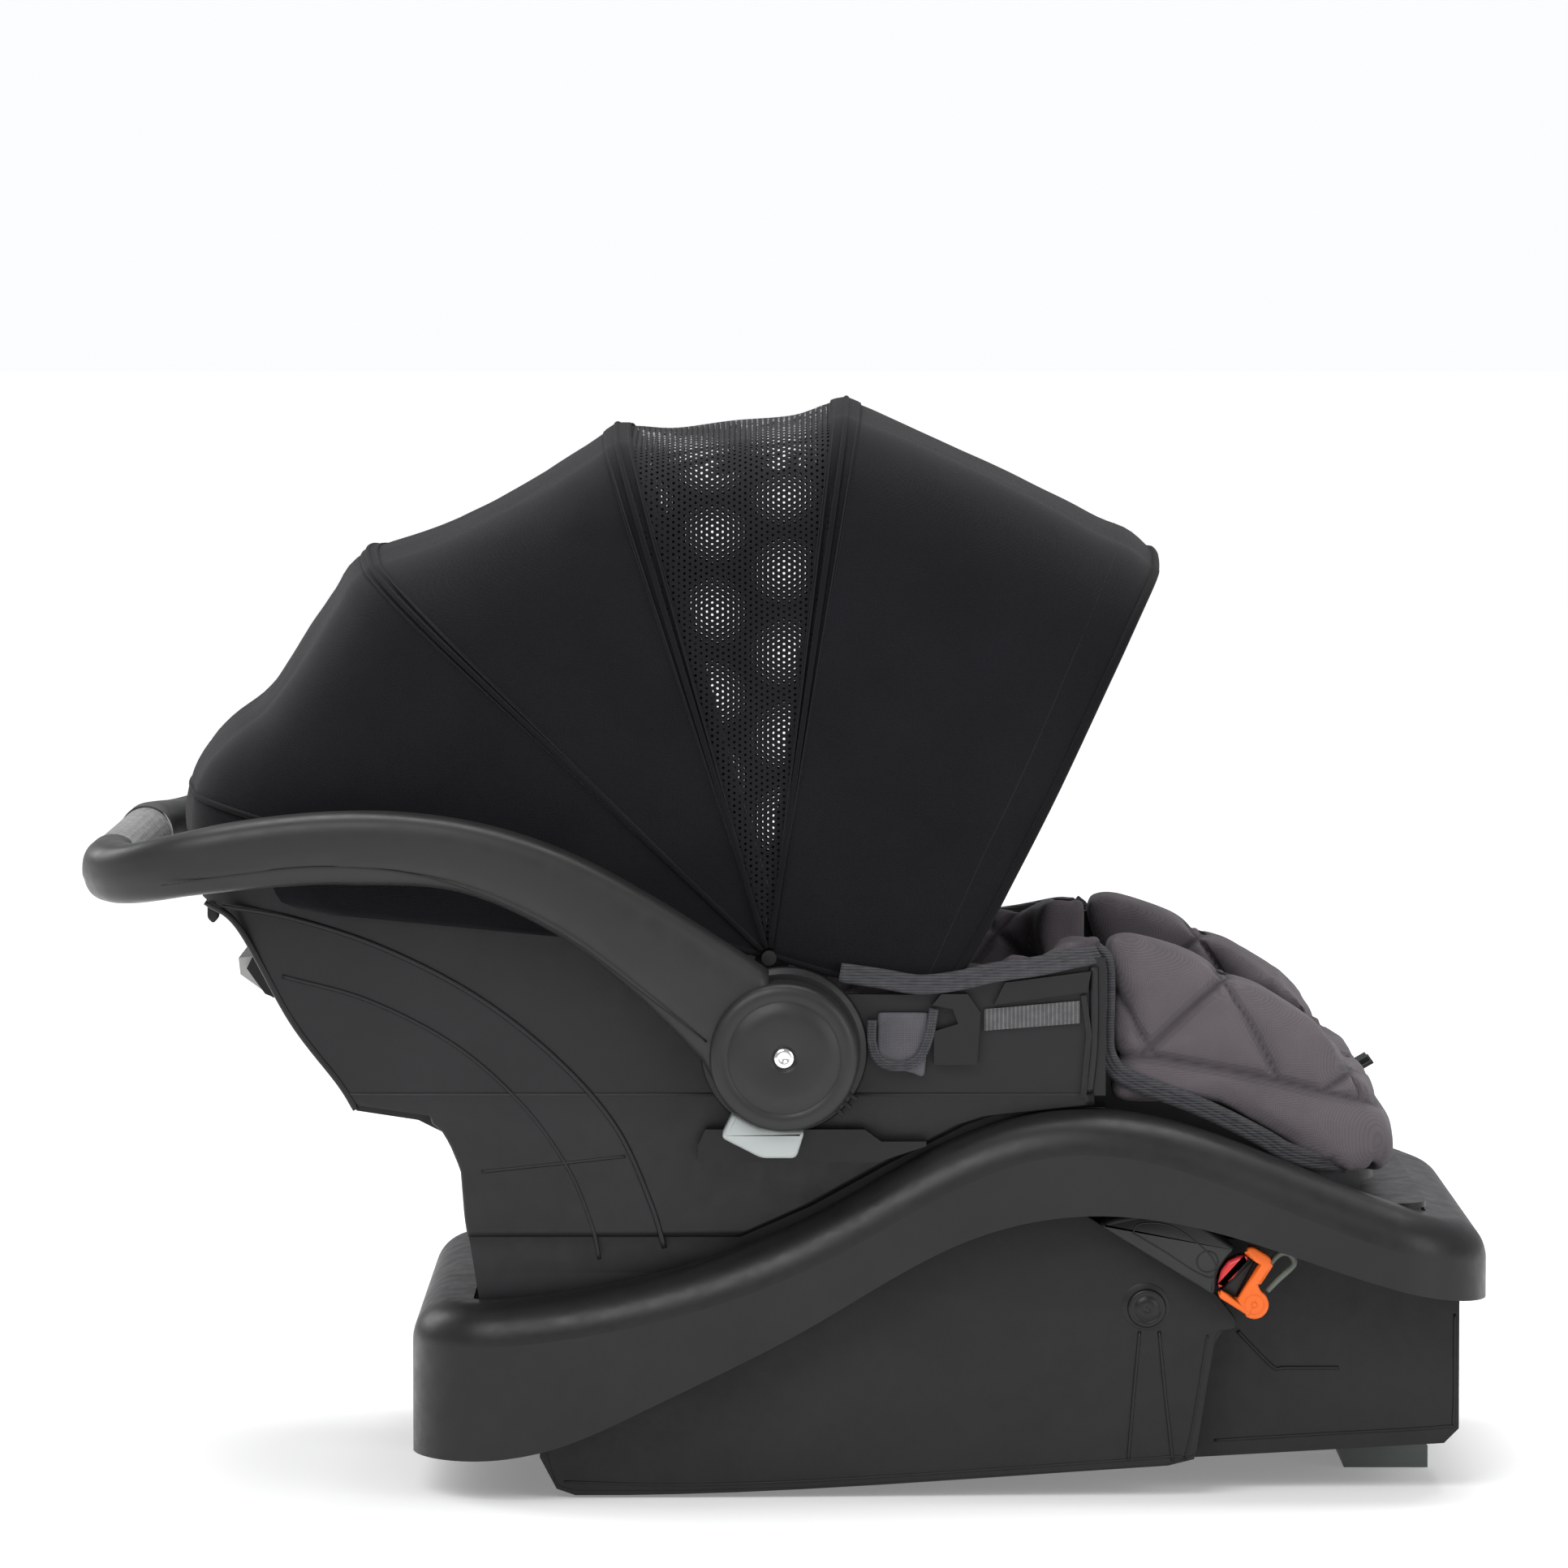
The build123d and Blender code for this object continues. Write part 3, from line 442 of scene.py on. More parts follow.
# ------------------------------------------------------------------ canopy
def visor_rows(rows=40, seed=4.0, wrinkle=1.3):
    """Cloth from the front bow to the visor's edge, which runs down to its lower corners."""
    frac = np.linspace(0, 1, len(VISOR_EDGE))
    a_front = BOWS["front"]
    t_front = math.radians(a_front)
    r_front = reach(a_front)
    edge_top = VISOR_EDGE[-1] - PIVOT
    a_edge = math.degrees(math.atan2(edge_top[1], edge_top[0]))
    out = []
    for u in np.linspace(0, 1, rows):
        belly = 4 * u * (1 - u)
        top = a_front + (a_edge - a_front) * u
        ridge = reach(top) - (r_front + (reach(a_edge) - r_front) * u)
        line = []
        for y, s in ARCH:
            e = np.array([np.interp(s, frac, VISOR_EDGE[:, k]) for k in (0, 1)]) - PIVOT
            r_bow = WAIST + (r_front - WAIST) * s
            t = math.radians(a_front + (math.degrees(math.atan2(e[1], e[0])) - a_front) * u)
            r = r_bow + (math.hypot(*e) - r_bow) * u + ridge * s ** 5
            side = min(1.0, abs(y) / CANOPY_HALF)
            yy = y * (1 - 0.016 * belly * side)
            low = max(0.0, 1 - s / 0.30) ** 1.5
            hem_x = PIVOT[0] + r_bow * math.cos(t_front) * (1 - u) + e[0] * u
            hem_z = PIVOT[1] - 4 + r_bow * math.sin(t_front) * (1 - u) + (e[1] + 4) * u
            hem_z -= 3.0 * math.sin(math.pi * u)
            x = (PIVOT[0] + r * math.cos(t)) * (1 - low) + hem_x * low
            z = (PIVOT[1] + r * math.sin(t)) * (1 - low) + hem_z * low
            w = wrinkle * min(1.0, 3 * s) * (belly + 0.05) ** 0.5
            w = crease((x, yy, z), seed, 70.0, w) + crease((x, yy, z), seed + 5, 24.0, w * 0.3)
            yy += w * math.copysign(1, y) * side ** 3
            up = w * (1 - side ** 3)
            line.append((x + up * math.cos(t), yy, z + up * math.sin(t)))
        out.append(line)
    return np.array(out)


def crossing(a0, a1, half):
    """Two points half either side of a panel's middle, square to it."""
    middle = math.radians((a0 + a1) / 2)
    centre = Vector((PIVOT[0] + 190 * math.cos(middle), 0, PIVOT[1] + 190 * math.sin(middle)))
    turn = Vector((-math.sin(middle), 0, math.cos(middle)))
    return (centre + turn * half) * MM, (centre - turn * half) * MM


REAR, MID, FRONT = BOWS["rear"], BOWS["mid"], BOWS["front"]
CLOTH = 1.2
front_rows = visor_rows()
sheet("canopy_rear_cloth", canopy_rows(174.3, REAR, 44, 1.0, 2.2), CLOTH, "canopy_cloth", "carrier", "canopy_rear")
sheet("canopy_quarter_cloth", canopy_rows(REAR + 0.2, MID - 0.2, 30, 2.0, 1.6), CLOTH, "canopy_cloth",
      replaced="canopy_quarter", blend=("carrier", "middle_bow", *crossing(REAR, MID, 60)))
sheet("canopy_window_net", canopy_rows(MID + 0.2, FRONT - 0.2, 28, 3.0, 0.8), 0, "canopy_net",
      replaced="canopy_window", blend=("middle_bow", "front_bow", *crossing(MID, FRONT, 50)))
sheet("canopy_visor_cloth", front_rows, CLOTH, "canopy_cloth",
      replaced="canopy_visor", blend=("front_bow", "visor", *crossing(FRONT, 34.0, 45)))


def outward(row, flatten=1.0):
    """Directions away from the pivot, with their sideways part made smaller."""
    away = row - np.array([PIVOT[0], 0, PIVOT[1]])
    away[:, 1] *= flatten
    return away / (np.linalg.norm(away, axis=1)[:, None] + 1e-9)


def row_tube(name, row, radius, mat, body, start=0.0, end=1.0):
    row = even(row, 150)[int(start * 149):int(end * 149) + 1]
    tube(name, row, radius, mat, body, sides=10)


def bow_row(angle, offset=0.0):
    return canopy_rows(angle, angle - 0.01, 2, offset=offset)[0]


def bow_loop(name, row, drop, body, replaced):
    """A flat sprung bow a little inside the cloth, standing in for the plain one."""
    row = even(row, 120)
    o = tube(name, row - outward(row, 0.6) * drop, 4.0, "trim_black", body, sides=10, flat=0.3)
    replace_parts(o, replaced)


TAPE_CROWN = (0, 0.5, 0.9, 1.5, 0.9, 0.5, 0)
TAPE_LIFT = 0.9
for label, body, half in (("rear", "carrier", 0.9), ("mid", "middle_bow", 1.55), ("front", "front_bow", 1.55)):
    angle = BOWS[label]
    bow_loop("canopy_bow_" + label, bow_row(angle), 5.0, body, "bow_" + label)
    tape = canopy_rows(angle + half, angle - half, len(TAPE_CROWN), offset=TAPE_LIFT)
    for row, rise in zip(tape, TAPE_CROWN):
        row += outward(row) * rise
    sheet("canopy_pocket_" + label, tape, CLOTH, "seam_tape", body)
    row_tube("canopy_piping_" + label, bow_row(angle, 2.2), 1.5, "seam_tape", body)
    for tag, shift in (("a", half * 0.8), ("b", -half * 0.8)):
        row_tube("canopy_stitch_" + label + "_" + tag, bow_row(angle + shift, TAPE_LIFT + 0.6), 0.45, "thread",
                 body, 0.04, 0.96)
row_tube("canopy_skirt_hem", canopy_rows(164.8, 164.7, 2)[0], 1.6, "seam_tape", "carrier")
row_tube("canopy_visor_edge", front_rows[-1], 2.6, "seam_tape", "visor")
row_tube("canopy_visor_stitch", front_rows[34], 0.7, "thread", "visor")
bow_loop("visor_bow", front_rows[-1], 6.0, "visor", "visor_frame")
for side, tag in ((1, "near"), (-1, "far")):
    tube("canopy_lower_hem_" + tag, even(front_rows[:, 0] * (1, side, 1), 40), 1.8, "seam_tape", "visor", sides=10)


# ------------------------------------------------------------------ carry handle
ARM_TOP = smooth_path([(-378, 341), (-372, 349), (-362, 353.5), (-350, 352), (-325, 359), (-286, 366.5),
                       (-243, 371), (-200, 370.7), (-157, 364), (-114, 349.6), (-71, 327), (-28, 300), (0, 281.3)], 300)
ARM_LOW = smooth_path([(-378, 331), (-372, 324), (-359, 319.5), (-312, 326.8), (-264, 331.5), (-230, 332.4),
                       (-174, 329), (-123, 307.4), (-80, 275), (-43, 238), (-38, 228)], 300)
PARTING = smooth_path([(-376, 329), (-366, 329.5), (-330, 333), (-290, 338.5), (-247, 342.7), (-200, 339.7),
                       (-157, 327), (-114, 305), (-71, 273), (-41, 250)], 200)
ARM_MID_Y = 198.5
ARM_HALF = 16.5
CORNER_X, CORNER_R = -299.5, 63.5          # where the arm turns in, and its radius
GRIP_X, GRIP_Z, GRIP_HALF = -363.0, 337.0, 112.0


def line_z(line, x):
    order = np.argsort(line[:, 0])
    return float(np.interp(x, line[order, 0], line[order, 1]))


def plan_route():
    """Plan of the handle's middle line: along the arm, round the corner and across to the grip."""
    pts = [(x, -ARM_MID_Y) for x in np.linspace(-8, CORNER_X, 60)]
    for a in np.radians(np.linspace(0, 90, 22)[1:]):
        pts.append((CORNER_X - CORNER_R * math.sin(a), -ARM_MID_Y + CORNER_R * (1 - math.cos(a))))
    pts += [(GRIP_X, y) for y in np.linspace(-ARM_MID_Y + 66, 1 - GRIP_HALF, 10)]
    return np.array(pts)


def arm_rows():
    """Rings of the arm, which turns from flat-sided to round towards the grip, with a step at the parting line."""
    route = plan_route()
    tan = np.gradient(route, axis=0)
    tan /= np.linalg.norm(tan, axis=1)[:, None]
    rows = []
    for (x, y), (tx, ty) in zip(route, tan):
        turn = max(0.0, min(1.0, (y + ARM_MID_Y) / 62.0))
        xs = max(x, -352.0)
        top, low = line_z(ARM_TOP, xs), line_z(ARM_LOW, xs)
        if x > -45:
            low = max(low, 226.0)
        half_z = (top - low) / 2 * (1 - turn) + 16.4 * turn
        mid_z = (top + low) / 2 * (1 - turn) + 336.6 * turn
        split_z = line_z(PARTING, xs) * (1 - turn) + 333.0 * turn
        power = 2 / (3.4 - 1.2 * turn)
        row = []
        for a in np.linspace(0, 2 * math.pi, 44, endpoint=False):
            c, s = math.cos(a), math.sin(a)
            out = (ARM_HALF - 2.2 * turn) * math.copysign(abs(c) ** power, c)
            z = mid_z + half_z * math.copysign(abs(s) ** power, s)
            if z < split_z and turn < 0.98:
                out *= 0.955
            row.append((x + ty * out, y - tx * out, z))
        rows.append(row)
    return np.array(rows)


def both(name, rows, mat, body):
    """A near-side piece and its mirror image."""
    made = []
    for side, tag in ((1, "near"), (-1, "far")):
        me = grid(name + "_" + tag, rows * (1, side, 1), wrap_c=True, caps=True, flip=side < 0)
        made.append(add_object(name + "_" + tag, me, mat, body))
        fix_normals(made[-1])
    return made


def fix_normals(o):
    bm = bmesh.new()
    bm.from_mesh(o.data)
    bmesh.ops.recalc_face_normals(bm, faces=bm.faces)
    bm.to_mesh(o.data)
    bm.free()


near_arm, far_arm = both("handle_arm", arm_rows(), "handle_black", "handle")
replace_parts(near_arm, "handle_arm_near")
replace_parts(far_arm, "handle_arm_far")


def solid(name, rows, mat, body):
    """A closed piece lofted through rings of points."""
    o = add_object(name, grid(name, rows, wrap_c=True, caps=True), mat, body)
    fix_normals(o)
    return o


def lathe(name, profile, centre, mat, body, y_sign, segments=96):
    """A turned piece about a line along Y: profile of (radius, |y|) pairs."""
    turn = np.linspace(0, 2 * math.pi, segments, endpoint=False)
    return solid(name, [[(centre[0] + r * math.cos(t), y_sign * y, centre[1] + r * math.sin(t)) for t in turn]
                        for r, y in profile], mat, body)


HUB_FACE_PROFILE = [(0.5, 188), (37.5, 188), (39.2, 190), (39.5, 205), (39.5, 216.5), (38.9, 218.6), (37.4, 220.2),
                    (35.0, 221.0), (30.6, 221.3), (30.1, 220.7), (29.5, 220.7), (29.0, 221.4), (20, 221.8), (8, 221.9),
                    (6.9, 221.6), (6.4, 220.6), (0.5, 220.5)]
RIVET = [(0.3, 219), (5.6, 219), (5.6, 220.8), (5.0, 221.6), (3.6, 221.95), (2.2, 221.9), (1.6, 221.3), (0.3, 221.2)]
for side, tag in SIDES:
    hub = lathe("hub_cover_" + tag, HUB_FACE_PROFILE, HUB, "handle_black", "handle", side)
    rivet = lathe("hub_rivet_" + tag, RIVET, HUB, "rivet_chrome", "handle", side, 48)
    if side < 0:
        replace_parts(hub, "hub_covers")
        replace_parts(rivet, "hub_rivets")


def round_grip(y, radii, turn):
    return [(GRIP_X + r * math.cos(t), y, GRIP_Z + r * math.sin(t)) for r, t in zip(radii, turn)]


def grip_rows():
    """A soft sleeve with small ribs both ways and plain end collars."""
    turn = np.linspace(0, 2 * math.pi, 72, endpoint=False)
    rows = []
    for y in np.linspace(-GRIP_HALF, GRIP_HALF, 225):
        edge = GRIP_HALF - abs(y)
        radii = np.full(72, 14.1)
        if edge < 6:
            radii += 0.8 - 0.4 * math.exp(-edge * 2)
        elif edge >= 8:
            radii += 0.3 + 0.25 * math.sin(2 * math.pi * y / 4.4) + 0.22 * np.cos(turn * 24)
        rows.append(round_grip(y, radii, turn))
    return rows


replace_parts(solid("handle_grip_sleeve", grip_rows(), "grip_grey", "handle"), "handle_grip")
for side, tag in SIDES:
    ring = round_grip(side * (GRIP_HALF + 0.6), np.full(49, 14.6), np.linspace(0, 2 * math.pi, 49))
    tube("grip_ring_" + tag, ring, 1.1, "lever_grey", "handle", sides=8)
for side, tag in SIDES:
    seam = [(x, side * (ARM_MID_Y + ARM_HALF - 0.5), z) for x, z in PARTING if x > -330]
    tube("arm_seam_" + tag, even(np.array(seam), 80), 0.45, "trim_black", "handle", sides=6)


# release buttons under the hubs
def rounded_prism(name, outline_xz, y0, y1, mat, body, radius, rings=5):
    """A plate with its outline in side view, its outer edges rounded. y1 is the outer face."""
    pts = np.array(outline_xz, float)
    along = np.roll(pts, -1, axis=0) - np.roll(pts, 1, axis=0)
    away = np.c_[along[:, 1], -along[:, 0]]
    away /= np.linalg.norm(away, axis=1)[:, None] + 1e-9
    away[np.sum(away * (pts - pts.mean(axis=0)), axis=1) < 0] *= -1
    rows = [np.insert(pts, 1, y0, axis=1)]
    for a in np.linspace(0, math.pi / 2, rings + 1):
        y = y1 - math.copysign(radius * (1 - math.sin(a)), y1 - y0)
        rows.append(np.insert(pts - away * radius * (1 - math.cos(a)), 1, y, axis=1))
    return solid(name, rows, mat, body)


def rounded(points, radius, steps=6):
    """A polygon with its corners rounded, as even points."""
    p = np.array(points, float)
    out = []
    for a, b, c in zip(np.roll(p, 1, axis=0), p, np.roll(p, -1, axis=0)):
        u, v = a - b, c - b
        r = min(radius, 0.45 * np.linalg.norm(u), 0.45 * np.linalg.norm(v))
        u, v = b + u / np.linalg.norm(u) * r, b + v / np.linalg.norm(v) * r
        for t in np.linspace(0, 1, steps):
            out.append((1 - t) ** 2 * u + 2 * t * (1 - t) * b + t * t * v)
    return np.array(out)


BUTTON = rounded([(-27, 211.5), (-33.5, 198.5), (-12, 187.5), (6.5, 187.5), (11, 202), (0, 202.3), (-14, 204.5)], 3.0)
for side, tag in SIDES:
    b = rounded_prism("handle_button_" + tag, BUTTON, side * 187, side * 209.5, "button_grey",
                      "handle_release_" + tag, 2.5)
    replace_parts(b, "release_button_" + tag)


# ------------------------------------------------------------------ padded pieces
def soft_copy(node_name, name, mat, voxel=5.0, shape=None, pressure=4.0, cap=5.0, smooth=6):
    """Turn a plain solid into a swelled cushion: remesh, puff up with cloth pressure, subdivide."""
    o = in_scene(name, NODES[node_name].data.copy())
    remesh = o.modifiers.new("remesh", "REMESH")
    remesh.mode = "VOXEL"
    remesh.voxel_size = voxel * MM
    apply_modifiers(o)
    if shape:
        write_points(o, shape(read_points(o) / MM) * MM)
    relax = o.modifiers.new("relax", "SMOOTH")
    relax.iterations = smooth
    relax.factor = 0.5
    apply_modifiers(o)
    swell(o, pressure, cap)
    sub = o.modifiers.new("fine", "SUBSURF")
    sub.levels = sub.render_levels = 1
    apply_modifiers(o)
    dress(o, mat)
    return o


FRAMES = 20


def swell(o, pressure, cap):
    """Blow the mesh up as closed cloth; no point moves further than the cap, in millimetres."""
    rest = read_points(o)
    puff = o.modifiers.new("puff", "CLOTH")
    puff.settings.use_pressure = True
    puff.settings.uniform_pressure_force = pressure
    puff.settings.quality = 4
    puff.settings.mass = 0.3
    puff.settings.tension_stiffness = 15
    puff.settings.compression_stiffness = 15
    puff.settings.bending_stiffness = 0.5
    puff.settings.effector_weights.gravity = 0.0
    puff.point_cache.frame_start = 1
    puff.point_cache.frame_end = FRAMES
    scene = bpy.context.scene
    for f in range(1, FRAMES + 1):
        scene.frame_set(f)
    apply_modifiers(o)
    scene.frame_set(1)
    move = read_points(o) - rest
    far = np.linalg.norm(move, axis=1)[:, None] + 1e-12
    write_points(o, rest + move * np.minimum(1.0, cap * MM / far))


def apply_modifiers(o):
    deps = bpy.context.evaluated_depsgraph_get()
    deps.update()
    me = bpy.data.meshes.new_from_object(o.evaluated_get(deps))
    o.modifiers.clear()
    o.data = me


def read(o, what):
    values = np.empty(len(o.data.vertices) * 3)
    o.data.vertices.foreach_get(what, values)
    return values.reshape(-1, 3)


def read_points(o):
    return read(o, "co")


def write_points(o, co):
    o.data.vertices.foreach_set("co", np.asarray(co).ravel())
    o.data.update()


def smoothstep(a, b, x):
    t = np.clip((x - a) / (b - a), 0, 1)
    return t * t * (3 - 2 * t)


def lattice(u, v, cell_u, cell_v, shift=0.0):
    """Distance to the nearest line of a diamond lattice."""
    a, b = u / cell_u, v / cell_v
    scale = 1 / math.hypot(1 / cell_u, 1 / cell_v)
    p = np.abs((a + b + shift) - np.round(a + b + shift)) * scale
    q = np.abs((a - b + shift) - np.round(a - b + shift)) * scale
    return np.minimum(p, q)


def quilting(o, distance, puff=3.2, groove=1.8):
    """Press sewn channels into a cushion. distance(x, y, z) gives each point's distance to a seam, in mm."""
    co = read_points(o) / MM
    d = distance(*co.T)
    h = puff * (1 - np.exp(-(d / 10.0) ** 2)) - puff * 0.8 - groove * np.exp(-(d / 3.0) ** 2)
    write_points(o, (co + read(o, "normal") * h[:, None]) * MM)
    # the distance is kept on the mesh as "seam"; the quilt material paints shade along the channels from it and bumps
    # them
    seam = o.data.attributes.new("seam", "FLOAT", "POINT")
    seam.data.foreach_set("value", np.clip(d, 0, 10).astype(np.float32))


# height of the sewn edge along the pad's walls, and the top of the walls of the plain solid
CROWN_X = [-400, 40, 80, 110, 155, 183, 224, 256, 284, 311, 335]
CROWN_Z = [330, 286, 289, 294, 300, 297, 285, 269, 251, 224, 190]
SOLID_X = [-400, 45, 60, 110, 150, 172, 200, 240, 285, 308, 324, 335]
SOLID_Z = [330, 292, 292, 314, 318, 314, 306, 289, 258, 230, 204, 180]


def lower_crown(p):
    """Bring the top of the walls down to the height of the sewn edge, a little above the rim."""
    top = np.interp(p[:, 0], SOLID_X, SOLID_Z)
    drop = np.maximum(0, top - np.interp(p[:, 0], CROWN_X, CROWN_Z) + 1.5)
    drop *= np.interp(p[:, 0], [165, 185], [1.0, 0.45])
    p[:, 2] -= drop * smoothstep(-80, 0, p[:, 2] - top) * smoothstep(20, 70, p[:, 0])
    return p


SEWN_U, SEWN_V = 96.0, 104.0          # diamonds of the leg cover and the sides
SEWN_BACK = 72.0                      # diamonds of the back and the seat


def leg_distance(x, y, z):
    """Seams of the leg cover: diamonds over the walls and inside, one seam above a plain lower panel."""
    ridge = np.interp(x, CROWN_X, CROWN_Z)
    outer = smoothstep(-8, 4, np.abs(y) - 141)
    v = np.where(np.abs(y) > 137, (ridge - z) * (2 * outer - 1), z - ridge) - np.maximum(0, 118 - np.abs(y))
    d = lattice(x + 0.5 * (300 - ridge), v, SEWN_U, SEWN_V, 0.42)
    line = np.interp(x, [100, 177, 199, 253, 312, 340], [238, 236, 236, 226, 212, 206])
    outside = (np.abs(y) > 128) | (x > 296)
    d = np.where(outside & (z < line), 60.0, d)
    return np.where(outside, np.minimum(d, np.abs(z - line)), d)


def sides_distance(x, y, z):
    return lattice(x + 12, z - 0.15 * x, SEWN_U, SEWN_V, 0.1)


def back_distance(x, y, z):
    return lattice(0.64 * x - 0.77 * z, y + 36, SEWN_BACK, SEWN_BACK, 0.25)


def seat_distance(x, y, z):
    return lattice(x, y + 36, SEWN_BACK, SEWN_BACK, 0.25)


leg = soft_copy("leg_pad", "leg_cushion", "quilt", voxel=4.0, shape=lower_crown, cap=4.0)
quilting(leg, leg_distance, puff=3.6)
sides = soft_copy("side_pads", "side_cushions", "quilt", voxel=4.5, shape=lower_crown, cap=3.5)
quilting(sides, sides_distance)
back = soft_copy("back_pad", "back_cushion", "quilt", voxel=4.5, cap=3.5)
quilting(back, back_distance)
seat = soft_copy("seat_pad", "seat_cushion", "quilt", voxel=4.5, cap=3.5)
quilting(seat, seat_distance)
pillow = soft_copy("head_pillow", "head_cushion", "flap_grey", voxel=4.0, cap=5.0)
covers = soft_copy("strap_covers", "strap_sleeves", "flap_grey", voxel=2.6, cap=1.5, smooth=3)
flaps = soft_copy("side_flaps", "side_flap_cushions", "flap_grey", voxel=2.4, cap=1.5, smooth=3)
for o, replaced, slot, fill in (
        (leg, "leg_pad", "quilt", 0.55), (sides, "side_pads", "quilt", 0.5), (back, "back_pad", "quilt", 0.5),
        (seat, "seat_pad", "quilt", 0.5), (pillow, "head_pillow", "quilt", 0.6),
        (covers, "strap_covers", "flap_grey", 0.4), (flaps, "side_flaps", "flap_grey", 0.4)):
    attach(o, "carrier")
    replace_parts(o, replaced)


# ------------------------------------------------------------------ sewn edges
def bands(name, path, facing, width, thick, count):
    """A bound edge on both sides: a flat ribbon along a path, with two sewn grooves; facing is where it looks."""
    w, t = width / 2, thick / 2
    r = min(t, w) * 0.9
    shape = [(-w, -t + r * 0.4), (-w + r * 0.5, -t), (w - r * 0.5, -t), (w, -t + r * 0.4), (w, t - r * 0.6), (w - r, t),
             (w * 0.30, t), (w * 0.24, t - 0.5), (w * 0.18, t), (-w * 0.18, t), (-w * 0.24, t - 0.5), (-w * 0.30, t),
             (-w + r, t), (-w, t - r * 0.6)]
    for mirror, tag in ((1, "near"), (-1, "far")):
        line = smooth_path(np.array(path, float) * (1, mirror, 1), count)
        tan = np.gradient(line, axis=0)
        tan /= np.linalg.norm(tan, axis=1)[:, None]
        rows = []
        for p, d in zip(line, tan):
            side = np.cross(d, np.array(facing, float) * (1, mirror, 1))
            side /= np.linalg.norm(side)
            up = np.cross(side, d)
            rows.append([p + side * a + up * b for a, b in shape])
        solid(name + "_" + tag, rows, "binding", "carrier")


RIM_EDGE = [(30, -170, 283), (52, -172, 280), (72, -174, 277), (92, -174.5, 279), (112, -174.5, 283.5),
            (136, -174, 287), (158, -171, 291.5), (168, -164, 292)]
bands("pad_rim_edge", RIM_EDGE, (0.0, -0.86, 0.5), 11.0, 3.0, 60)
DROP_EDGE = [(166, -160, 294), (171.5, -158.5, 288), (172.5, -157, 270), (172, -156.8, 250), (173, -157, 238),
             (179, -157, 228.5), (192, -156.5, 221.5), (217, -155.5, 212), (239, -154.5, 202), (258, -153, 192),
             (270, -152, 185), (285, -149, 180), (303, -140, 177)]
bands("pad_drop_edge", DROP_EDGE, (-0.15, -0.98, -0.1), 10.0, 4.0, 90)
FLAP_EDGE = [(47, -176.4, 258), (47, -176.8, 246), (50, -177, 237.5), (57, -177.2, 233.6), (66, -177.2, 234),
             (73, -177, 239), (77.5, -176.8, 250), (80, -176.4, 264)]
bands("flap_edge", FLAP_EDGE, (0, -1, 0), 5.0, 2.4, 50)



# ------------------------------------------------------------------ shell and base details
def plate(name, outline_xz, y_in, y_out, mat, body, radius, corner, rings=4):
    """The same moulded plate on both sides of the seat."""
    return [rounded_prism(name + "_" + tag, rounded(outline_xz, corner), side * y_in, side * y_out, mat, body,
                          radius, rings) for side, tag in SIDES]


def line_pair(name, path_xz, y, radius, mat, body, count):
    """A moulded bead or groove line on both sides."""
    for side, tag in SIDES:
        pts = [(x, side * (y(x, z) if callable(y) else y), z) for x, z in smooth_path(path_xz, count)]
        tube(name + "_" + tag, pts, radius, mat, body, sides=8)


TRAY_EDGE_X = [-200, -28, 15, 58, 101, 144]
TRAY_EDGE_Z = [100, 133, 152, 176, 198, 210]
SIDE_Y, SIDE_DRAFT = 170.5, 7.2          # the side's outer face below the rim, and how far it draws in


def side_y(x, z):
    return SIDE_Y - SIDE_DRAFT * float(smoothstep(217, 142, z))


def shell_flare():
    """Smooth drafted side of the shell, between its rim and the tray."""
    rows = []
    inner, corner = 160, 3.0
    for z in np.r_[np.linspace(218.5, 212, 4), np.linspace(206, 140, 16)]:
        y_out = side_y(0, z) - 0.15
        if z > 206:
            x0 = np.interp(z, [206, 212, 219], [-227, -231, -235])
        else:
            x0 = np.interp(z, [140, 151, 176, 190, 197, 203], [-170, -171.6, -173.4, -179, -183, -190])
        x1 = np.interp(z - 5, TRAY_EDGE_Z, TRAY_EDGE_X) if z < 212 else 166
        pts = [(x0, inner), (x0, y_out - corner)]
        pts += [(x0 + corner * (1 - math.cos(a)), y_out - corner + corner * math.sin(a))
                for a in np.linspace(0.3, math.pi / 2, 5)]
        pts += [(x, y_out) for x in np.linspace(x0 + 10, x1 - 6, 12)]
        pts += [(x1 - 2 * math.cos(a), y_out - 2 + 2 * math.sin(a)) for a in np.linspace(math.pi / 2, 0, 4)]
        rows.append([(x, -y, z) for x, y in pts + [(x1, inner)]])
    return np.array(rows)


both("shell_side", shell_flare(), "shell_black", "carrier")

# arc band moulded into the side, the panel line below it, and the bead along the rear edge
ARC_OUT = [(-300, 319), (-262, 312), (-214, 296), (-164, 270), (-121, 236), (-90, 200), (-72, 160), (-64, 134)]
ARC_IN = [(-268, 281), (-222, 268), (-176, 244), (-140, 212), (-116, 178), (-103, 146), (-99, 128)]


for name, path, y, radius, count in (
        ("shell_arc_outer", ARC_OUT, lambda x, z: side_y(x, z) - 0.2, 1.5, 80),
        ("shell_arc_inner", ARC_IN, lambda x, z: side_y(x, z) - 0.4, 1.1, 80),
        ("shell_panel_line", [(-162, 175.5), (-120, 180), (-85, 184)], lambda x, z: side_y(x, z) - 0.3, 0.9, 30),
        ("shell_rear_bead", [(-309, 321), (-291, 307), (-263, 257), (-238, 224), (-229, 209.5)], 169.6, 1.8, 60),
        ("shell_front_bead", [(165.5, 286), (165.8, 262), (165.2, 240), (163, 219)], 170.3, 2.6, 30)):
    line_pair(name, path, y, radius, "shell_black", "carrier", count)
plate("shell_hook", [(-309, 320), (-302, 320), (-303, 311), (-306, 308), (-309, 311)], 150, 156, "shell_black", "carrier",
      1.2, corner=1.5, rings=5)

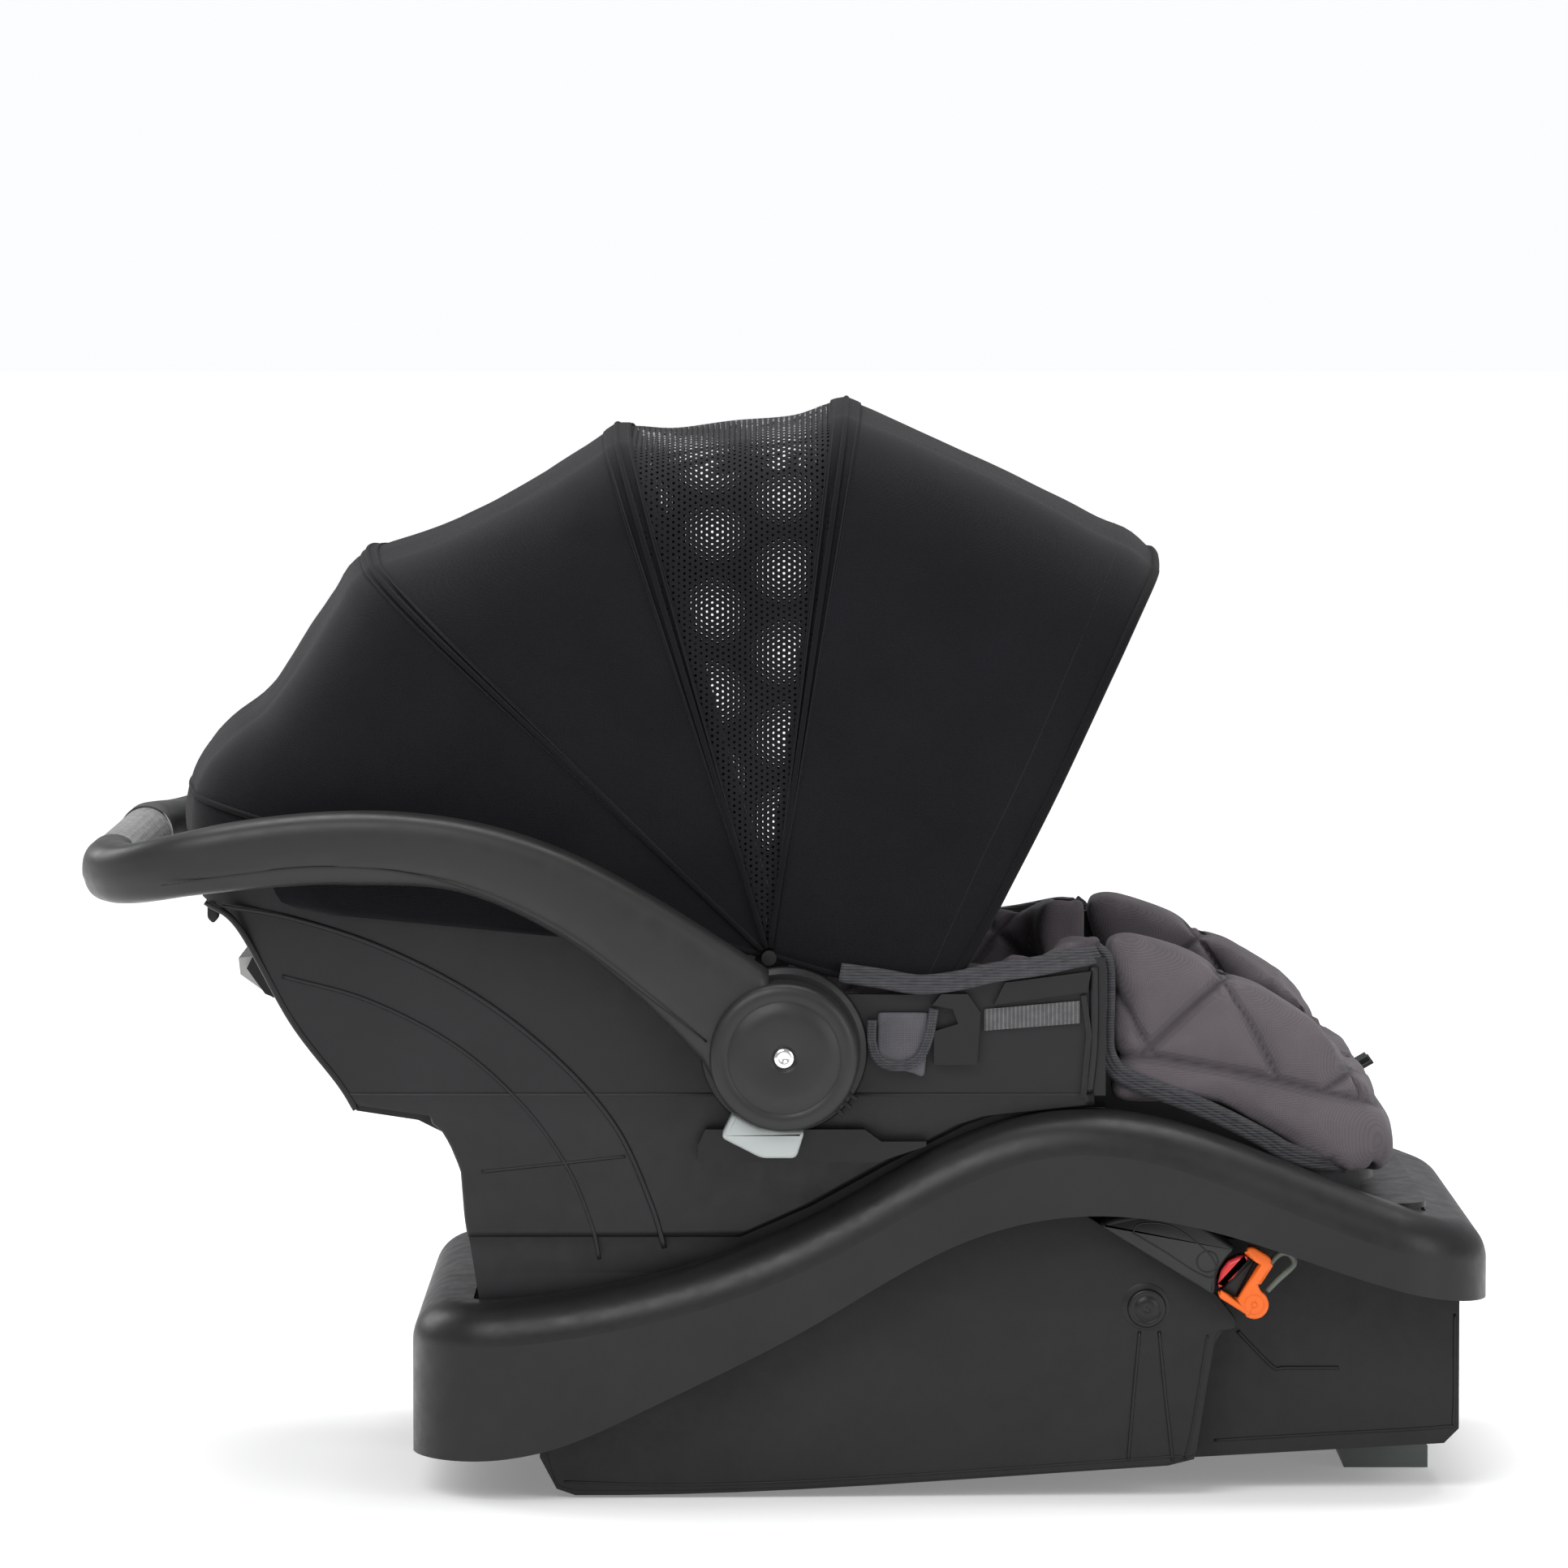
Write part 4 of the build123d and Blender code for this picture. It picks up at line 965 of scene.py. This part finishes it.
# round seat behind each hub, with its toothed stops
SEAT_RING = [(0.5, 170.2), (44, 170.2), (44.6, 171), (44.6, 176.6), (43.6, 177.9), (0.5, 177.9)]
for side, tag in SIDES:
    lathe("hub_seat_" + tag, SEAT_RING, HUB, "trim_black", "carrier", side, 72)
    for k, a in enumerate((-48, -41, -34)):
        t = math.radians(a)
        d, n = np.array([math.cos(t), math.sin(t)]), np.array([-math.sin(t), math.cos(t)])
        p = HUB + d * 41
        tooth = [p - n * 1.2, p + n * 1.2, p + n * 1.2 + d * 6.5, p - n * 1.2 + d * 6.5]
        rounded_prism("hub_stop_%s_%d" % (tag, k), rounded(tooth, 0.5, 3), side * 176, side * 179.6,
                      "trim_black", "carrier", 0.6)

# base: pivot knobs with their grooves, embossed lines, lips
KNOB = [(0.4, 168), (10.4, 168), (10.4, 172.6), (9.6, 173.6), (7.4, 173.8), (6.9, 173.0), (6.5, 173.8), (3.0, 174.1),
        (1.0, 174.1), (0.6, 173.6), (0.4, 173.6)]
WASHER = [(0.4, 168), (13.2, 168), (13.2, 170.4), (12.4, 171.0), (0.4, 171.0)]
FOOT_PIVOT = np.array([194.3, 102.7])
for side, tag in SIDES:
    lathe("foot_knob_" + tag, KNOB, FOOT_PIVOT, "trim_black", "base", side, 48)
    lathe("foot_washer_" + tag, WASHER, FOOT_PIVOT + np.array([-0.6, 0.8]), "trim_black", "base", side, 48)
line_pair("housing_groove_a", [(190.5, 90), (187.4, 55), (184.5, 20.4)], 170.75, 0.9, "trim_black", "base", 20)
line_pair("housing_groove_b", [(201, 90), (204.5, 55), (208.4, 20.4)], 170.75, 0.9, "trim_black", "base", 20)


# smooth side of the base between the housing's lower part and the tray's rim
SKIN = [(-129, 30), (-131, 62), (-118, 70), (-60, 84), (20, 118), (80, 150), (120, 166), (150, 160), (172, 146.5),
        (231.5, 110.5), (242, 97), (242, 91.5), (231.6, 90), (221, 24), (206, 18.2), (110, 12), (15, 6), (-60, 4),
        (-112, 4), (-122, 7)]
plate("housing_side", SKIN, 166.6, 170.7, "housing_black", "base", 0.7, corner=2.5)
LOW_LIP = [(-118, 9), (-60, 7.2), (15, 9.5), (110, 15.5), (206, 22.5), (216, 25), (227, 88)]
line_pair("housing_lip", LOW_LIP, 170.6, 0.7, "housing_black", "base", 120)
line_pair("front_emboss", [(244.5, 87), (250, 81), (264, 67.2), (270, 67), (299, 67)], 145.2, 1.0, "housing_black",
          "base", 50)
line_pair("front_lip", [(232, 27.5), (290, 31), (356, 35), (361, 40), (361.5, 96)], 145.0, 0.8, "housing_black",
          "base", 80)

# lower anchor connectors in their notches
CASE = [(168, 149), (176, 153), (205, 158), (228, 146), (241, 136.5), (236, 131.5), (231.2, 124), (230, 113), (228, 112)]
near_case, far_case = plate("connector_case", CASE, 168.2, 186.5, "connector_black", "base", 2.2, corner=3.5)
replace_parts(near_case, "anchor_connectors")
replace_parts(far_case, "anchor_jaws")
CASE_FRAME = [(186, 145), (203, 135), (221, 123.5), (229.5, 121.5), (230, 129), (222, 138.5), (206, 149), (190, 150),
              (186, 145)]
line_pair("connector_frame", CASE_FRAME, 186.4, 0.45, "trim_black", "base", 90)


def ring(x, z, radius):
    return [(x + radius * math.cos(a), z + radius * math.sin(a)) for a in np.linspace(0, 2 * math.pi, 25)]


line_pair("connector_ring", ring(226, 129.6, 5.6), 186.4, 0.45, "trim_black", "base", 60)
RED = [(248, 132.6), (243, 132.4), (237, 129.6), (233.2, 124.6), (231.6, 118.6), (232.0, 115.2), (240, 121)]
for side, tag in SIDES:
    b = rounded_prism("connector_button_" + tag, rounded(RED, 1.0, 4), side * 171, side * 187.8, "red_plastic",
                      "anchor_release_" + tag, 2.5)
    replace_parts(b, "anchor_button_" + tag)
plate("connector_mouth", [(253, 131.6), (248.5, 133.4), (233, 113.6), (235.5, 109.6), (241.5, 109)], 172, 181.5,
      "trim_black", "base", 1.5, corner=1.5)


def clip_outline():
    pts = [(231.6, 113.8), (232.3, 110.2), (246.5, 101.2)]
    pts += [(251 + 7.8 * math.cos(a), 106.5 + 7.8 * math.sin(a)) for a in np.radians(np.linspace(-125, 62, 16))]
    pts += [(252.8, 117.5), (260.2, 129), (259.6, 131.6), (257.2, 133.6), (250.6, 137.6), (247.6, 137.4), (246.6, 135),
            (254.2, 129.4), (243.8, 112.6), (242, 109.6), (239.5, 109.4)]
    return pts


for side, tag in SIDES:
    clip = rounded_prism("anchor_clip_" + tag, rounded(clip_outline(), 1.0, 3), side * 176, side * 187.2,
                         "orange_plastic", "base", 1.4)
    if side < 0:
        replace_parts(clip, "anchor_clips")
line_pair("anchor_clip_ring", ring(251, 106.5, 5.3), 187.1, 0.42, "orange_plastic", "base", 60)
DOT = [(0.3, 186.8), (1.7, 186.8), (1.7, 187.4), (0.3, 187.7)]
for side, tag in SIDES:
    lathe("anchor_clip_boss_" + tag, DOT, np.array([251, 106.5]), "orange_plastic", "base", side, 24)
WIRE = [(252, 116), (258.5, 126), (264.5, 132.6), (269.5, 133.2), (272.4, 130), (271.8, 126.4), (264.6, 119.6),
        (258, 113)]
for side, tag in SIDES:
    loop = tube("anchor_wire_" + tag, [(x, side * 179.0, z) for x, z in smooth_path(WIRE, 60)], 1.7, "wire", "base")
    if side < 0:
        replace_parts(loop, "anchor_loops")


# ------------------------------------------------------------------ materials of the CAD pieces that stay
SPECIAL = {"base_tray": "tray_black", "base_housing": "housing_black", "visor_frame": "trim_black"}
for part in frame["record"]["subparts"]:
    piece = NODES[part["node"]]
    finish = MAT[SPECIAL.get(part["node"], part["material_slot"])]
    if not piece.material_slots:
        piece.data.materials.append(finish)
    for place in piece.material_slots:
        place.material = finish


# ------------------------------------------------------------------ floor, light and camera
FLOOR_HALF = 40.0
GLOW = {"From Min": 1.2, "From Max": 4.5, "To Min": 0.22, "To Max": 0.58}          # metres, and emission strength


def room():
    """A wide pale floor, brighter far off so that it runs into the white background."""
    me = bpy.data.meshes.new("floor")
    me.from_pydata([(x * FLOOR_HALF, y * FLOOR_HALF, 0) for x, y in ((-1, -1), (1, -1), (1, 1), (-1, 1))], [],
                   [(0, 1, 2, 3)])
    m, t, b = new_material("floor")
    n = node(t, "ShaderNodeTexNoise", Scale=3.0, Detail=2.0)
    link(t, ramp(t, n.outputs["Fac"], 0.3, 0.7, grey(0.90), grey(0.92)), b.inputs["Base Color"])
    away = node(t, "ShaderNodeVectorMath", operation="LENGTH")
    link(t, coords(t), away.inputs[0])
    glow = node(t, "ShaderNodeMapRange", **GLOW)
    link(t, away.outputs["Value"], glow.inputs["Value"])
    b.inputs["Emission Color"].default_value = (1, 1, 1, 1)
    link(t, glow.outputs["Result"], b.inputs["Emission Strength"])
    b.inputs["Roughness"].default_value = 0.7
    me.materials.append(m)
    in_scene("floor", me)


def aimed(name, data, place, height):
    """Put a light or the camera at a place, aimed at a height on the object's middle line."""
    o = in_scene(name, data)
    o.location = place
    o.rotation_euler = (Vector((0, 0, height)) - Vector(place)).to_track_quat("-Z", "Y").to_euler()
    return o


def light(name, place, height, size, watts):
    lamp = bpy.data.lights.new(name, "AREA")
    lamp.shape = "RECTANGLE"
    lamp.size, lamp.size_y = size
    lamp.energy = watts
    aimed(name, lamp, place, height)


room()
light("key", (-1.2, -2.6, 2.6), 0.3, (2.2, 1.6), 62)
light("fill", (2.4, -2.2, 1.3), 0.3, (1.8, 1.8), 26)
light("top", (0.1, 0.5, 3.2), 0.2, (2.6, 2.0), 82)
light("rim", (-2.4, 1.6, 1.6), 0.35, (1.2, 1.4), 26)

# sky: plain white where the camera sees it, dimmer as a light
world = bpy.context.scene.world or bpy.data.worlds.new("world")
bpy.context.scene.world = world
world.use_nodes = True
sky = world.node_tree
seen = sky.nodes.new("ShaderNodeLightPath")
glow = node(sky, "ShaderNodeMapRange")
glow.inputs["To Min"].default_value = 0.48
glow.inputs["To Max"].default_value = 1.0
link(sky, seen.outputs["Is Camera Ray"], glow.inputs["Value"])
sky.nodes["Background"].inputs[0].default_value = (0.97, 0.98, 1.0, 1)
link(sky, glow.outputs["Result"], sky.nodes["Background"].inputs[1])

cam = bpy.data.cameras.new("camera")
cam.lens = 186.3354
cam.sensor_width = 36
bpy.context.scene.camera = aimed("camera", cam, (0, -4.49026, 0.66866), 0.372753)
bpy.context.scene.view_settings.view_transform = "Standard"

bpy.context.view_layer.update()
